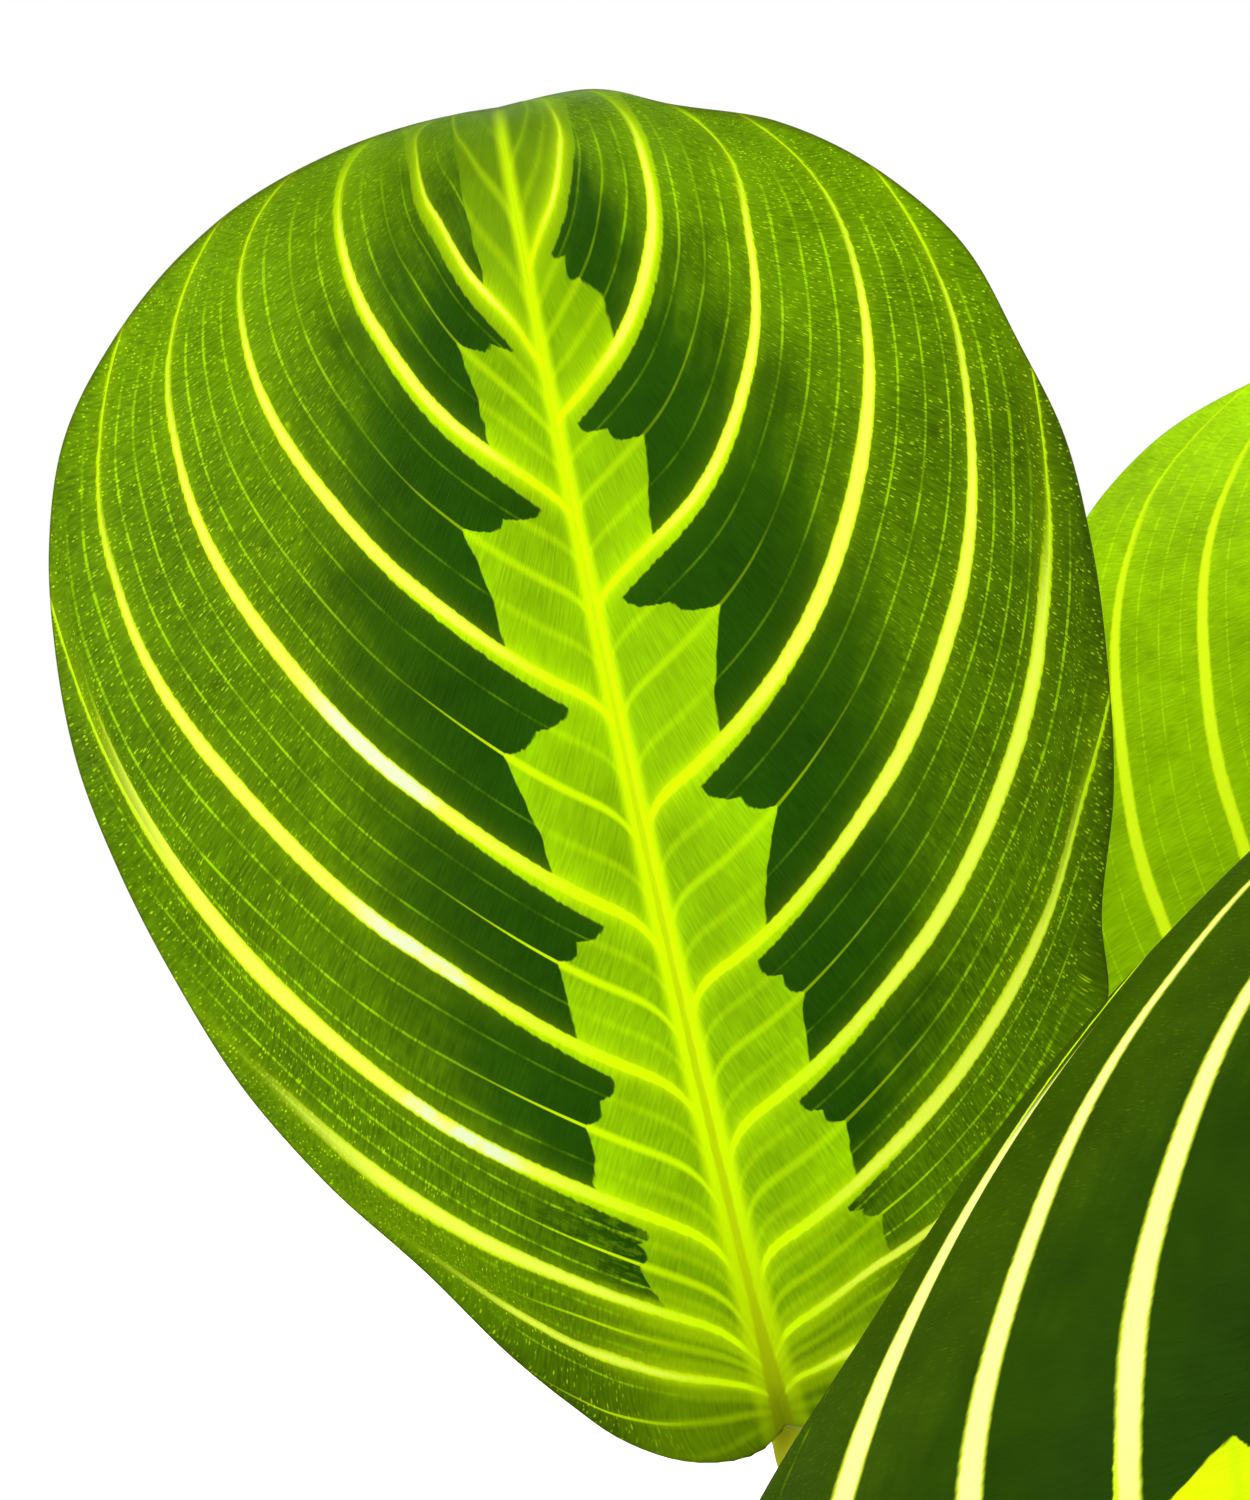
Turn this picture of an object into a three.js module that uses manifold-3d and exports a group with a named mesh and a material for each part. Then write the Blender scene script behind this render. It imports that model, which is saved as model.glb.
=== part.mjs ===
// A potted prayer plant (maranta) with lemon-lime leaves: a clay pot, its soil, seven leafy stems, the leaf
// blades and two new leaves that are still rolled up. Millimetres, +Z up, origin under the middle of the pot.
import * as THREE from 'three';
import { mergeVertices } from 'three/addons/utils/BufferGeometryUtils.js';
import Module from 'manifold-3d';

const wasm = await Module();
wasm.setup();

// ---------------------------------------------------------------- driving dimensions
const POT = { height: 112, foot: 46, mouth: 64, rim: 69, rimHeight: 20, wall: 5.5, floor: 8, sides: 40 };
const DRAIN = { count: 4, radius: 4, ring: 24 };
const SOIL_TOP = 99;
const HOLE = { depth: 28, above: 6, clearance: 0.5, sides: 12 };
const GAP = 0.3;
const BLADE_THICKNESS = 0.6;
const STEM = { foot: 2.8, top: 1.9, bury: 26, collar: 5, zigzag: 1.6, steps: 8, sides: 7 };
const STALK = {
  sheath: 2.1, middle: 1.15, joint: 1.55, jointLength: 8, end: 1.0, reach: 2.6, steps: 8, sides: 6,
};
const ROLL = { rings: 12, sides: 9, winding: 0.035, ridge: 0.3, core: 0.82 };

// Half outlines of one blade, in blade lengths: distance out from the midrib, height above the stalk's joint.
const OUTLINE_LEFT = [
  [0, 0], [0.028, -0.014], [0.063, -0.012], [0.112, 0.016], [0.142, 0.051], [0.17, 0.089],
  [0.213, 0.157], [0.271, 0.236], [0.312, 0.309], [0.344, 0.403], [0.364, 0.483], [0.378, 0.564],
  [0.379, 0.639], [0.369, 0.714], [0.342, 0.785], [0.289, 0.847], [0.208, 0.905], [0.12, 0.947],
  [0.055, 0.975], [0, 1],
];
const OUTLINE_RIGHT = [
  [0, 0], [0.03, -0.004], [0.07, 0.008], [0.12, 0.04], [0.172, 0.083], [0.229, 0.147], [0.267, 0.202],
  [0.291, 0.243], [0.299, 0.3], [0.326, 0.385], [0.342, 0.47], [0.352, 0.56], [0.349, 0.641],
  [0.328, 0.712], [0.301, 0.785], [0.255, 0.843], [0.191, 0.894], [0.117, 0.931], [0.06, 0.979],
  [0, 1],
];
// Main veins: where each one leaves the midrib, and the share of the margin at which it ends.
const VEINS_LEFT = [
  [0, 0], [0.03, 0.28], [0.06, 0.39], [0.13, 0.625], [0.24, 0.76], [0.36, 0.833], [0.525, 0.885],
  [0.67, 0.946], [0.79, 0.982], [1, 1],
];
const VEINS_RIGHT = [
  [0, 0], [0.03, 0.14], [0.062, 0.263], [0.12, 0.452], [0.206, 0.616], [0.317, 0.75], [0.446, 0.847],
  [0.603, 0.914], [0.731, 0.966], [0.836, 0.99], [1, 1],
];
// How vein lines run, in degrees and shares: the angle off the midrib in each half, the extra angle of the
// lowest ones and how fast it fades, the angle lost near the tip, the angle to the margin, and the handles.
const VEIN = {
  left: 58, right: 68, lowest: 70, fade: 1.1, upper: 45, margin: 18, near: 0.012, leave: 0.38, arrive: 0.4,
};
// How a flat blade is bent: where its tip starts to curl, how far the midrib sways sideways, how much later
// the waves of the right margin come, and the distances out at which the bow and the waves are at full size.
const CURL_START = 0.82;
const SWAY = 0.04;
const WAVE_SHIFT = 1.3;
const BOW_REACH = 0.35;
const WAVE_REACH = 0.25;
// Rows along the midrib and columns out to the margin, for a plain blade and for the finely shaped ones.
const STATIONS = [0, 0.012, 0.04, 0.1, 0.2, 0.34, 0.5, 0.66, 0.8, 0.91, 1];
const FINE_STATIONS = [
  0, 0.008, 0.02, 0.04, 0.09, 0.16, 0.25, 0.36, 0.48, 0.6, 0.7, 0.79, 0.86, 0.92, 0.965, 1,
];
const OUTWARD = [0, 0.4, 0.76, 1];
const FINE_OUTWARD = [0, 0.25, 0.5, 0.72, 0.88, 1];

// ---------------------------------------------------------------- the plant's layout
// Each stem: where it leaves the soil, and where its tip is.
const STEMS = [
  { name: 'shoot_1', root: [-20, 2], top: [-27, 6, 136] },
  { name: 'shoot_2', root: [-12, -20], top: [-20, -34, 128] },
  { name: 'shoot_3', root: [14, -18], top: [22, -26, 138] },
  { name: 'shoot_4', root: [24, 4], top: [32, 4, 160] },
  { name: 'shoot_5', root: [12, 24], top: [18, 32, 138] },
  { name: 'shoot_6', root: [-14, 22], top: [-20, 32, 132] },
  { name: 'shoot_7', root: [12, 42], top: [26, 60, 142] },
];

/** Direction of a compass heading (degrees, counted from +X towards +Y) that rises by some degrees. */
function toward(heading, rise) {
  const h = THREE.MathUtils.degToRad(heading);
  const r = THREE.MathUtils.degToRad(rise);
  return [Math.cos(h) * Math.cos(r), Math.sin(h) * Math.cos(r), Math.sin(r)];
}

const UP = [0, 0, 1];
// Form of a blade where its own line below says nothing else: how its stalk meets it (share along the blade,
// share from behind), width, fold, bow, droop and curl in degrees, and its margin's waves.
const FORM = {
  joint: [0.6, 0.8], width: 1, fold: 14, bow: 34, droop: 50, curl: 20, wave: 2.5, waves: 3, fine: false,
};
// Each blade: the stem that carries it, how high on that stem its stalk starts (0 soil, 1 stem tip), the
// point where the stalk meets it, the way to its tip, the way its upper side looks, and what of its form is
// its own.
const LEAVES = [
  { stem: 0, at: 1, base: [-29.8, 6.2, 159.3], tip: [-0.212, 0.051, 0.976], face: [0, -0.9986, 0.052],
    length: 135, width: 1.015, fold: 8, bow: 20, droop: 0, curl: 75, wave: 1.5, waves: 2.5, joint: [1, 0.25],
    fine: true },
  { stem: 4, at: 1, base: [14.7, 46, 151.2], tip: [0.406, 0.093, 0.909], face: [-0.356, -0.9, 0.251],
    length: 125, fold: 10, bow: 20, droop: -10, curl: 30, wave: 2, waves: 3, joint: [1, 0.25], fine: true },
  { stem: 1, at: 1, base: [-39, -89.6, 122.4], tip: [0.664, 0.102, 0.741], face: [-0.434, -0.754, 0.493],
    length: 135, fold: 18.6, bow: 58, droop: -8, curl: 30, wave: 0.5, waves: 3, joint: [0.15, 1],
    fine: true },
  { stem: 0, at: 0.62, base: [-58, -6, 126], tip: toward(188, 10), face: UP, length: 112, droop: 54 },
  { stem: 1, at: 0.6, base: [-56, -42, 120], tip: toward(228, 6), face: UP, length: 98, droop: 54 },
  { stem: 2, at: 0.55, base: [14, -56, 121], tip: toward(284, 2), face: UP, length: 98, droop: 52 },
  { stem: 2, at: 0.75, base: [46, -42, 127], tip: toward(322, 12), face: UP, length: 108, droop: 54 },
  { stem: 3, at: 0.4, base: [60, 0, 126], tip: toward(3, 8), face: UP, length: 104, droop: 52 },
  { stem: 4, at: 0.6, base: [44, 44, 127], tip: toward(46, 10), face: UP, length: 108, droop: 54 },
  { stem: 5, at: 0.6, base: [0, 62, 124], tip: toward(92, 8), face: UP, length: 104, droop: 52 },
  { stem: 5, at: 0.9, base: [-46, 42, 124], tip: toward(140, 4), face: UP, length: 108, droop: 48 },
  { stem: 2, at: 1, base: [54, -30, 160], tip: toward(334, 30), face: UP, length: 122, droop: 50 },
  { stem: 3, at: 0.7, base: [68, 12, 166], tip: toward(14, 34), face: UP, length: 125, droop: 48 },
  { stem: 6, at: 0.8, base: [46, 74, 160], tip: toward(52, 28), face: UP, length: 118, droop: 48 },
  { stem: 5, at: 1, base: [-4, 64, 152], tip: toward(98, 16), face: UP, length: 112, droop: 44 },
  { stem: 1, at: 0.85, base: [-52, -30, 148], tip: toward(214, 8), face: UP, length: 100, droop: 38 },
  { stem: 0, at: 0.8, base: [-54, 20, 132], tip: toward(166, 6), face: UP, length: 104, droop: 36 },
  { stem: 3, at: 1, base: [60, -6, 194], tip: [0.5, -0.05, 0.86], face: [-0.3, -0.8, 0.2], length: 112,
    droop: 24 },
  { stem: 6, at: 1, base: [80, 66, 178], tip: toward(22, 58), face: UP, length: 112, droop: 34 },
  { stem: 5, at: 0.75, base: [-20, 56, 172], tip: toward(118, 34), face: UP, length: 100, droop: 46 },
  { stem: 2, at: 0.9, base: [50, -46, 142], tip: toward(314, 16), face: UP, length: 90, droop: 44 },
];

// New leaves that are still rolled up, with their stalks placed as above.
const ROLLS = [
  { stem: 3, at: 1, base: [36, 14, 184], tip: [0.1, 0.12, 0.98], face: [-1, 0, 0], length: 74, radius: 3.4 },
  { stem: 2, at: 1, base: [30, -16, 164], tip: [0.2, 0, 0.97], face: [-1, 0, 0], length: 60, radius: 2.9 },
];

const COLOURS = {
  blade: { color: 0x4f8a10, roughness: 0.42, metalness: 0 },
  brightBlade: { color: 0x86b812, roughness: 0.42, metalness: 0 },
  darkBlade: { color: 0x35600a, roughness: 0.42, metalness: 0 },
  newBlade: { color: 0x9cc42a, roughness: 0.45, metalness: 0 },
  stem: { color: 0x7d9a2e, roughness: 0.5, metalness: 0 },
  soil: { color: 0x3a281c, roughness: 0.95, metalness: 0 },
  clay: { color: 0xb4643c, roughness: 0.85, metalness: 0 },
};

// ---------------------------------------------------------------- small helpers
const { degToRad, clamp } = THREE.MathUtils;

/** Smooth step from 0 at a to 1 at b. */
function ease(a, b, x) {
  const t = clamp((x - a) / (b - a), 0, 1);
  return t * t * (3 - 2 * t);
}

/** Value at x of the smooth curve through rising knots that never overshoots them. */
function monotone(xs, ys, x) {
  const n = xs.length;
  const slope = xs.slice(1).map((v, i) => (ys[i + 1] - ys[i]) / (v - xs[i]));
  const bend = (i) => {
    if (i === 0) return slope[0];
    if (i === n - 1) return slope[n - 2];
    const before = xs[i] - xs[i - 1];
    const after = xs[i + 1] - xs[i];
    const w1 = 2 * after + before;
    const w2 = after + 2 * before;
    return (w1 + w2) / (w1 / slope[i - 1] + w2 / slope[i]);
  };
  let k = 0;
  while (k < n - 2 && x > xs[k + 1]) k += 1;
  const h = xs[k + 1] - xs[k];
  const t = (x - xs[k]) / h;
  return (2 * t ** 3 - 3 * t ** 2 + 1) * ys[k] + (t ** 3 - 2 * t ** 2 + t) * h * bend(k)
    + (3 * t ** 2 - 2 * t ** 3) * ys[k + 1] + (t ** 3 - t ** 2) * h * bend(k + 1);
}

/** A closed body from a list of points and a list of triangles. */
function bodyFrom(points, triangles) {
  const geometry = new THREE.BufferGeometry();
  geometry.setAttribute('position', new THREE.Float32BufferAttribute(points.flat(), 3));
  geometry.setIndex(triangles.flat());
  return geometry;
}

/** A closed geometry as a solid that can be joined and cut. */
function toSolid(geometry) {
  const bare = geometry.clone();
  bare.deleteAttribute('normal');
  bare.deleteAttribute('uv');
  const merged = mergeVertices(bare, 1e-4);
  return new wasm.Manifold(new wasm.Mesh({
    numProp: 3,
    vertProperties: new Float32Array(merged.attributes.position.array),
    triVerts: new Uint32Array(merged.index.array),
  }));
}

/** A solid as a geometry again. */
function toGeometry(solid) {
  const mesh = solid.getMesh();
  const geometry = new THREE.BufferGeometry();
  geometry.setAttribute('position', new THREE.BufferAttribute(mesh.vertProperties, 3));
  geometry.setIndex(new THREE.BufferAttribute(mesh.triVerts, 1));
  geometry.computeVertexNormals();
  return geometry;
}

function named(name, geometry, look) {
  const mesh = new THREE.Mesh(geometry, new THREE.MeshStandardMaterial(look));
  mesh.name = name;
  return mesh;
}

// ---------------------------------------------------------------- leaf blades
/** One half of the flat blade: its margin as a smooth curve, read by the share of its length. */
function halfBlade(outline, veins, angle) {
  const corners = outline.map(([x, y]) => new THREE.Vector3(x, y, 0));
  const curve = new THREE.CatmullRomCurve3(corners, false, 'chordal');
  curve.arcLengthDivisions = 600;
  return {
    curve,
    angle: degToRad(angle),
    last: veins.length - 1,
    starts: veins.map((v) => v[0]),
    ends: veins.map((v) => v[1]),
    counts: veins.map((v, i) => i),
  };
}

const HALVES = {
  left: halfBlade(OUTLINE_LEFT, VEINS_LEFT, VEIN.left),
  right: halfBlade(OUTLINE_RIGHT, VEINS_RIGHT, VEIN.right),
};

/**
 * Point of the flat half blade on the vein line that leaves the midrib at `station`, the share t of the way
 * out. A vein line is a cubic curve: it leaves the midrib at the vein angle and runs into the margin nearly
 * along it.
 */
function flatPoint(half, station, t) {
  if (station === 0 || station === 1) return [0, station];
  const phase = monotone(half.starts, half.counts, station);
  const share = monotone(half.starts, half.ends, station);
  const end = half.curve.getPointAt(clamp(share, 0, 1));
  const before = half.curve.getPointAt(clamp(share - VEIN.near, 0, 1));
  const after = half.curve.getPointAt(clamp(share + VEIN.near, 0, 1));
  const away = degToRad(VEIN.margin) * ease(0, 1, phase) * (1 - ease(half.last - 1.5, half.last, phase));
  const arriving = Math.atan2(after.x - before.x, after.y - before.y) + away;
  const leaving = half.angle + degToRad(VEIN.lowest) * Math.exp(-VEIN.fade * phase)
    - degToRad(VEIN.upper) * ease(half.last - 2.5, half.last - 0.5, phase);
  const reach = Math.hypot(end.x, end.y - station);
  const out = VEIN.leave * reach;
  const back = VEIN.arrive * reach;
  const first = [Math.sin(leaving) * out, station + Math.cos(leaving) * out];
  const second = [end.x - Math.sin(arriving) * back, end.y - Math.cos(arriving) * back];
  const weights = [(1 - t) ** 3, 3 * t * (1 - t) ** 2, 3 * t * t * (1 - t), t ** 3];
  return [
    weights[1] * first[0] + weights[2] * second[0] + weights[3] * end.x,
    weights[0] * station + weights[1] * first[1] + weights[2] * second[1] + weights[3] * end.y,
  ];
}

/** The midrib bent back by `droop` over its length and by `curl` near the tip: [along, back, angle] at y. */
function midribAt(leaf, y) {
  const angleAt = (v) => degToRad(leaf.droop) * v
    + degToRad(leaf.curl) * clamp((v - CURL_START) / (1 - CURL_START), 0, 1) ** 1.5;
  const steps = 48;
  const top = Math.max(y, 0);
  let along = Math.min(y, 0);
  let back = 0;
  for (let i = 0; i < steps; i += 1) {
    const angle = angleAt(((i + 0.5) / steps) * top);
    along += (Math.cos(angle) * top) / steps;
    back += (Math.sin(angle) * top) / steps;
  }
  return [along, back, angleAt(top)];
}

/**
 * A flat point lifted into the blade's form, in millimetres: right of the midrib, along it, out of its face.
 * Each half folds up from the midrib by `fold` and bends down again by `bow`; its margin has waves.
 */
function formedPoint(leaf, side, station, t) {
  const [x, y] = flatPoint(side < 0 ? HALVES.left : HALVES.right, station, t);
  const [along, back, angle] = midribAt(leaf, y);
  const out = x * leaf.width;
  const fold = degToRad(leaf.fold);
  const bend = degToRad(leaf.bow) / BOW_REACH;
  const across = (Math.sin(fold) - Math.sin(fold - bend * out)) / bend;
  const swing = 2 * Math.PI * leaf.waves * y + leaf.phase + (side > 0 ? WAVE_SHIFT : 0);
  const wave = (leaf.wave / leaf.length) * t ** 3 * Math.min(out / WAVE_REACH, 1) * Math.sin(swing);
  const lift = (Math.cos(fold - bend * out) - Math.cos(fold)) / bend + wave;
  const right = side * across - SWAY * y * (1 - y);
  return new THREE.Vector3(right, along + lift * Math.sin(angle), lift * Math.cos(angle) - back)
    .multiplyScalar(leaf.length);
}

/** The blade's own directions in the plant: right, along to the tip, and out of the upper side. */
function bladeFrame(leaf) {
  const along = new THREE.Vector3(...leaf.tip).normalize();
  const right = new THREE.Vector3().crossVectors(along, new THREE.Vector3(...leaf.face)).normalize();
  const out = new THREE.Vector3().crossVectors(right, along);
  return new THREE.Matrix4().makeBasis(right, along, out).setPosition(new THREE.Vector3(...leaf.base));
}

/** Closed thin blade: rows of points run from margin to margin, upper and lower faces split alike. */
function blade(leaf) {
  const stations = leaf.fine ? FINE_STATIONS : STATIONS;
  const outward = leaf.fine ? FINE_OUTWARD : OUTWARD;
  const shares = outward.slice(1);
  const across = [...shares.map((t) => [-1, t]).reverse(), [1, 0], ...shares.map((t) => [1, t])];
  const rows = stations.map((s) => (s === 0 || s === 1
    ? [formedPoint(leaf, 1, s, 0)]
    : across.map(([side, t]) => formedPoint(leaf, side, s, t))));
  const first = [];
  let total = 0;
  rows.forEach((row) => {
    first.push(total);
    total += row.length;
  });
  const index = (i, j) => first[i] + (rows[i].length === 1 ? 0 : j);
  const top = [];
  for (let i = 0; i < rows.length - 1; i += 1) {
    for (let j = 0; j < across.length - 1; j += 1) {
      const corners = [index(i, j), index(i, j + 1), index(i + 1, j + 1), index(i + 1, j)];
      const halves = j < outward.length - 1
        ? [[0, 1, 3], [1, 2, 3]]
        : [[0, 1, 2], [0, 2, 3]];
      halves.map((h) => h.map((c) => corners[c]))
        .filter((h) => new Set(h).size === 3)
        .forEach((h) => top.push(h));
    }
  }
  const middle = rows.flat();
  const sheet = bodyFrom(middle.map((p) => p.toArray()), top);
  sheet.computeVertexNormals();
  const normals = sheet.attributes.normal;
  const face = (distance) => middle.map((p, i) => p.clone()
    .addScaledVector(new THREE.Vector3().fromBufferAttribute(normals, i), distance));
  const upper = face(BLADE_THICKNESS / 2);
  const lower = face(-BLADE_THICKNESS / 2);
  const n = middle.length;
  const bottom = top.map(([a, b, c]) => [a + n, c + n, b + n]);
  const lastColumn = across.length - 1;
  const rim = [
    ...rows.map((row, i) => index(i, lastColumn)),
    ...rows.map((row, i) => index(i, 0)).reverse().slice(1, -1),
  ];
  const walls = rim.flatMap((a, i) => {
    const b = rim[(i + 1) % rim.length];
    return [[a, a + n, b + n], [a, b + n, b]];
  });
  const geometry = bodyFrom([...upper, ...lower].map((p) => p.toArray()), [...top, ...bottom, ...walls]);
  geometry.computeVertexNormals();
  return geometry;
}

// ---------------------------------------------------------------- stems and stalks
/** Round closed rod along a smooth curve through points, its radius a function of the share along it. */
function rod(points, radiusAt, steps, sides) {
  const curve = new THREE.CatmullRomCurve3(points, false, 'centripetal');
  const frames = curve.computeFrenetFrames(steps, false);
  const ring = [];
  for (let i = 0; i <= steps; i += 1) {
    const centre = curve.getPointAt(i / steps);
    for (let j = 0; j < sides; j += 1) {
      const a = (2 * Math.PI * j) / sides;
      ring.push(centre.clone()
        .addScaledVector(frames.normals[i], Math.cos(a) * radiusAt(i / steps))
        .addScaledVector(frames.binormals[i], Math.sin(a) * radiusAt(i / steps)));
    }
  }
  const triangles = [];
  for (let i = 0; i < steps; i += 1) {
    for (let j = 0; j < sides; j += 1) {
      const a = i * sides + j;
      const b = i * sides + ((j + 1) % sides);
      triangles.push([a, b, b + sides], [a, b + sides, a + sides]);
    }
  }
  for (let j = 1; j < sides - 1; j += 1) {
    triangles.push([0, j + 1, j]);
    triangles.push([steps * sides, steps * sides + j, steps * sides + j + 1]);
  }
  return bodyFrom(ring.map((p) => p.toArray()), triangles);
}

/** Points of a stem: from its foot in the soil it zigzags up to its tip. */
function stemPoints(stem) {
  const buried = [STEM.bury, 10, 0].map((d) => new THREE.Vector3(stem.root[0], stem.root[1], SOIL_TOP - d));
  const collar = new THREE.Vector3(stem.root[0], stem.root[1], SOIL_TOP + STEM.collar);
  const tip = new THREE.Vector3(...stem.top);
  const side = new THREE.Vector3().subVectors(tip, collar).cross(new THREE.Vector3(0, 0, 1)).normalize();
  const between = [1, -1].map((way, i) => collar.clone().lerp(tip, (i + 1) / 3)
    .addScaledVector(side, way * STEM.zigzag));
  return [...buried, collar, ...between, tip];
}

/** Where on the stem a share of its length above the soil lies. */
function stemPlace(stem, share) {
  const points = stemPoints(stem).slice(2);
  return new THREE.CatmullRomCurve3(points, false, 'centripetal').getPointAt(share);
}

/** Stalk from the stem to just under the blade: sheath, thin middle, swollen joint. */
function stalkPoints(leaf) {
  const start = stemPlace(STEMS[leaf.stem], leaf.at);
  const along = new THREE.Vector3(...leaf.tip).normalize();
  const out = new THREE.Vector3().setFromMatrixColumn(bladeFrame(leaf), 2);
  const arrive = along.clone().multiplyScalar(leaf.joint[0]).addScaledVector(out, leaf.joint[1]).normalize();
  const end = new THREE.Vector3(...leaf.base)
    .addScaledVector(along, -STALK.reach * arrive.dot(along))
    .addScaledVector(out, -0.9);
  const gap = start.distanceTo(end);
  const rising = start.clone().add(new THREE.Vector3(0, 0, gap * 0.42));
  const arriving = end.clone().addScaledVector(arrive, -gap * 0.36);
  const curve = new THREE.CubicBezierCurve3(start, rising, arriving, end);
  return curve.getSpacedPoints(7);
}

function stalk(leaf) {
  const points = stalkPoints(leaf);
  const length = new THREE.CatmullRomCurve3(points).getLength();
  const joint = 1 - STALK.jointLength / length;
  const radiusAt = (s) => {
    if (s > 0.999) return STALK.end;
    if (s > joint) return STALK.joint;
    return THREE.MathUtils.lerp(STALK.sheath, STALK.middle, ease(0, 0.45, s));
  };
  return rod(points, radiusAt, STALK.steps, STALK.sides);
}

/** One leafy stem with all the stalks that grow from it, as one body. */
function shoot(stem, leaves) {
  const radiusAt = (s) => THREE.MathUtils.lerp(STEM.foot, STEM.top, s);
  const body = leaves.reduce(
    (solid, leaf) => solid.add(toSolid(stalk(leaf))),
    toSolid(rod(stemPoints(stem), radiusAt, STEM.steps, STEM.sides)),
  );
  return toGeometry(body);
}

// ---------------------------------------------------------------- pot and soil
/** Ring-shaped body from a closed profile of radius and height points. */
function turned(profile, sides) {
  const geometry = new THREE.LatheGeometry(profile.map(([r, z]) => new THREE.Vector2(r, z)), sides);
  return geometry.rotateX(Math.PI / 2);
}

/** Inner radius of the pot at a height. */
function innerRadius(z) {
  return THREE.MathUtils.lerp(POT.foot, POT.mouth, z / POT.height) - POT.wall;
}

function pot() {
  const underRim = POT.height - POT.rimHeight;
  const outer = (z) => THREE.MathUtils.lerp(POT.foot, POT.mouth, z / POT.height);
  const profile = [
    [0, 0], [POT.foot - 1.5, 0], [POT.foot, 1.5], [outer(underRim), underRim], [POT.rim - 1, underRim],
    [POT.rim, underRim + 1], [POT.rim + 1, POT.height - 2], [POT.rim - 1, POT.height],
    [innerRadius(POT.height) + 2, POT.height], [innerRadius(POT.height) + 0.4, POT.height - 1.6],
    [innerRadius(POT.floor), POT.floor], [0, POT.floor],
  ];
  const drains = Array.from({ length: DRAIN.count }, (_, i) => {
    const angle = (2 * Math.PI * (i + 0.5)) / DRAIN.count;
    const drain = new THREE.CylinderGeometry(DRAIN.radius, DRAIN.radius, POT.floor + 4, 16);
    drain.rotateX(Math.PI / 2);
    drain.translate(DRAIN.ring * Math.cos(angle), DRAIN.ring * Math.sin(angle), POT.floor / 2);
    return toSolid(drain);
  });
  const body = drains.reduce((solid, drain) => solid.subtract(drain), toSolid(turned(profile, POT.sides)));
  return toGeometry(body);
}

/** Soil that fills the pot to a low dome, with a plain hole for each stem. */
function soil() {
  const low = POT.floor + GAP;
  const fit = (z) => (innerRadius(z) - GAP) * Math.cos(Math.PI / POT.sides);
  const profile = [
    [0, low], [fit(low), low], [fit(SOIL_TOP - 3), SOIL_TOP - 3], [fit(SOIL_TOP) - 6, SOIL_TOP - 1.2],
    [24, SOIL_TOP], [0, SOIL_TOP],
  ];
  const holes = STEMS.map((stem) => {
    const radius = STEM.foot + HOLE.clearance;
    const hole = new THREE.CylinderGeometry(radius, radius, HOLE.depth + HOLE.above, HOLE.sides);
    hole.rotateX(Math.PI / 2);
    hole.translate(stem.root[0], stem.root[1], SOIL_TOP + (HOLE.above - HOLE.depth) / 2);
    return toSolid(hole);
  });
  const body = holes.reduce((solid, hole) => solid.subtract(hole), toSolid(turned(profile, POT.sides)));
  return toGeometry(body);
}

/** New leaf: a slim roll that swells above its stalk and ends in a point, its free edge a winding ridge. */
function roll(leaf) {
  const { rings, sides } = ROLL;
  const width = (s) => leaf.radius * (0.35 + 0.65 * ease(0, 0.3, s)) * (1 - 0.93 * ease(0.45, 1, s));
  const points = [[0, 0, 0], [0.02, 0.5, 0.015], [0, 1, 0]]
    .map(([x, y, z]) => new THREE.Vector3(x, y, z).multiplyScalar(leaf.length));
  const body = rod(points, width, rings, sides);
  const spots = body.attributes.position;
  const spot = (k) => new THREE.Vector3().fromBufferAttribute(spots, k);
  for (let i = 0; i <= rings; i += 1) {
    const ring = Array.from({ length: sides }, (_, j) => i * sides + j);
    const centre = ring.reduce((sum, k) => sum.add(spot(k)), new THREE.Vector3()).divideScalar(sides);
    ring.forEach((k, j) => {
      const share = (j / sides + i * ROLL.winding) % 1;
      const point = spot(k).sub(centre).multiplyScalar(ROLL.core + ROLL.ridge * share).add(centre);
      spots.setXYZ(k, point.x, point.y, point.z);
    });
  }
  body.computeVertexNormals();
  return body;
}

// ---------------------------------------------------------------- the plant
const leaves = LEAVES.map((leaf, i) => ({ ...FORM, phase: 1.7 * i, ...leaf }));
const rolls = ROLLS.map((leaf) => ({ joint: [1, 0], ...leaf }));
const plant = new THREE.Group();
plant.add(named('pot', pot(), COLOURS.clay));
plant.add(named('soil', soil(), COLOURS.soil));
STEMS.forEach((stem, i) => {
  const own = [...leaves, ...rolls].filter((leaf) => leaf.stem === i);
  plant.add(named(stem.name, shoot(stem, own), COLOURS.stem));
});
leaves.forEach((leaf, i) => {
  const look = [COLOURS.blade, COLOURS.brightBlade, COLOURS.darkBlade][i] ?? COLOURS.blade;
  const mesh = named(`leaf_${String(i + 1).padStart(2, '0')}`, blade(leaf), look);
  mesh.applyMatrix4(bladeFrame(leaf));
  plant.add(mesh);
});
rolls.forEach((leaf, i) => {
  const mesh = named(`new_leaf_${i + 1}`, roll(leaf), COLOURS.newBlade);
  mesh.applyMatrix4(bladeFrame(leaf));
  plant.add(mesh);
});

export default plant;
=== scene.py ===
# %% [markdown]
# # A potted prayer plant
# A prayer plant is a low house plant whose broad oval leaves stand on thin stalks. This lesson dresses the
# measured model of one: leaves with a lime feather along the midrib, dark blotches and bright herringbone
# veins, stalks with a swollen joint, a clay pot and its soil. Every surface is a function of two parameters,
# worked out with numpy. The measured model is loaded first, because each new piece has to sit where that
# model says.

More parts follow.
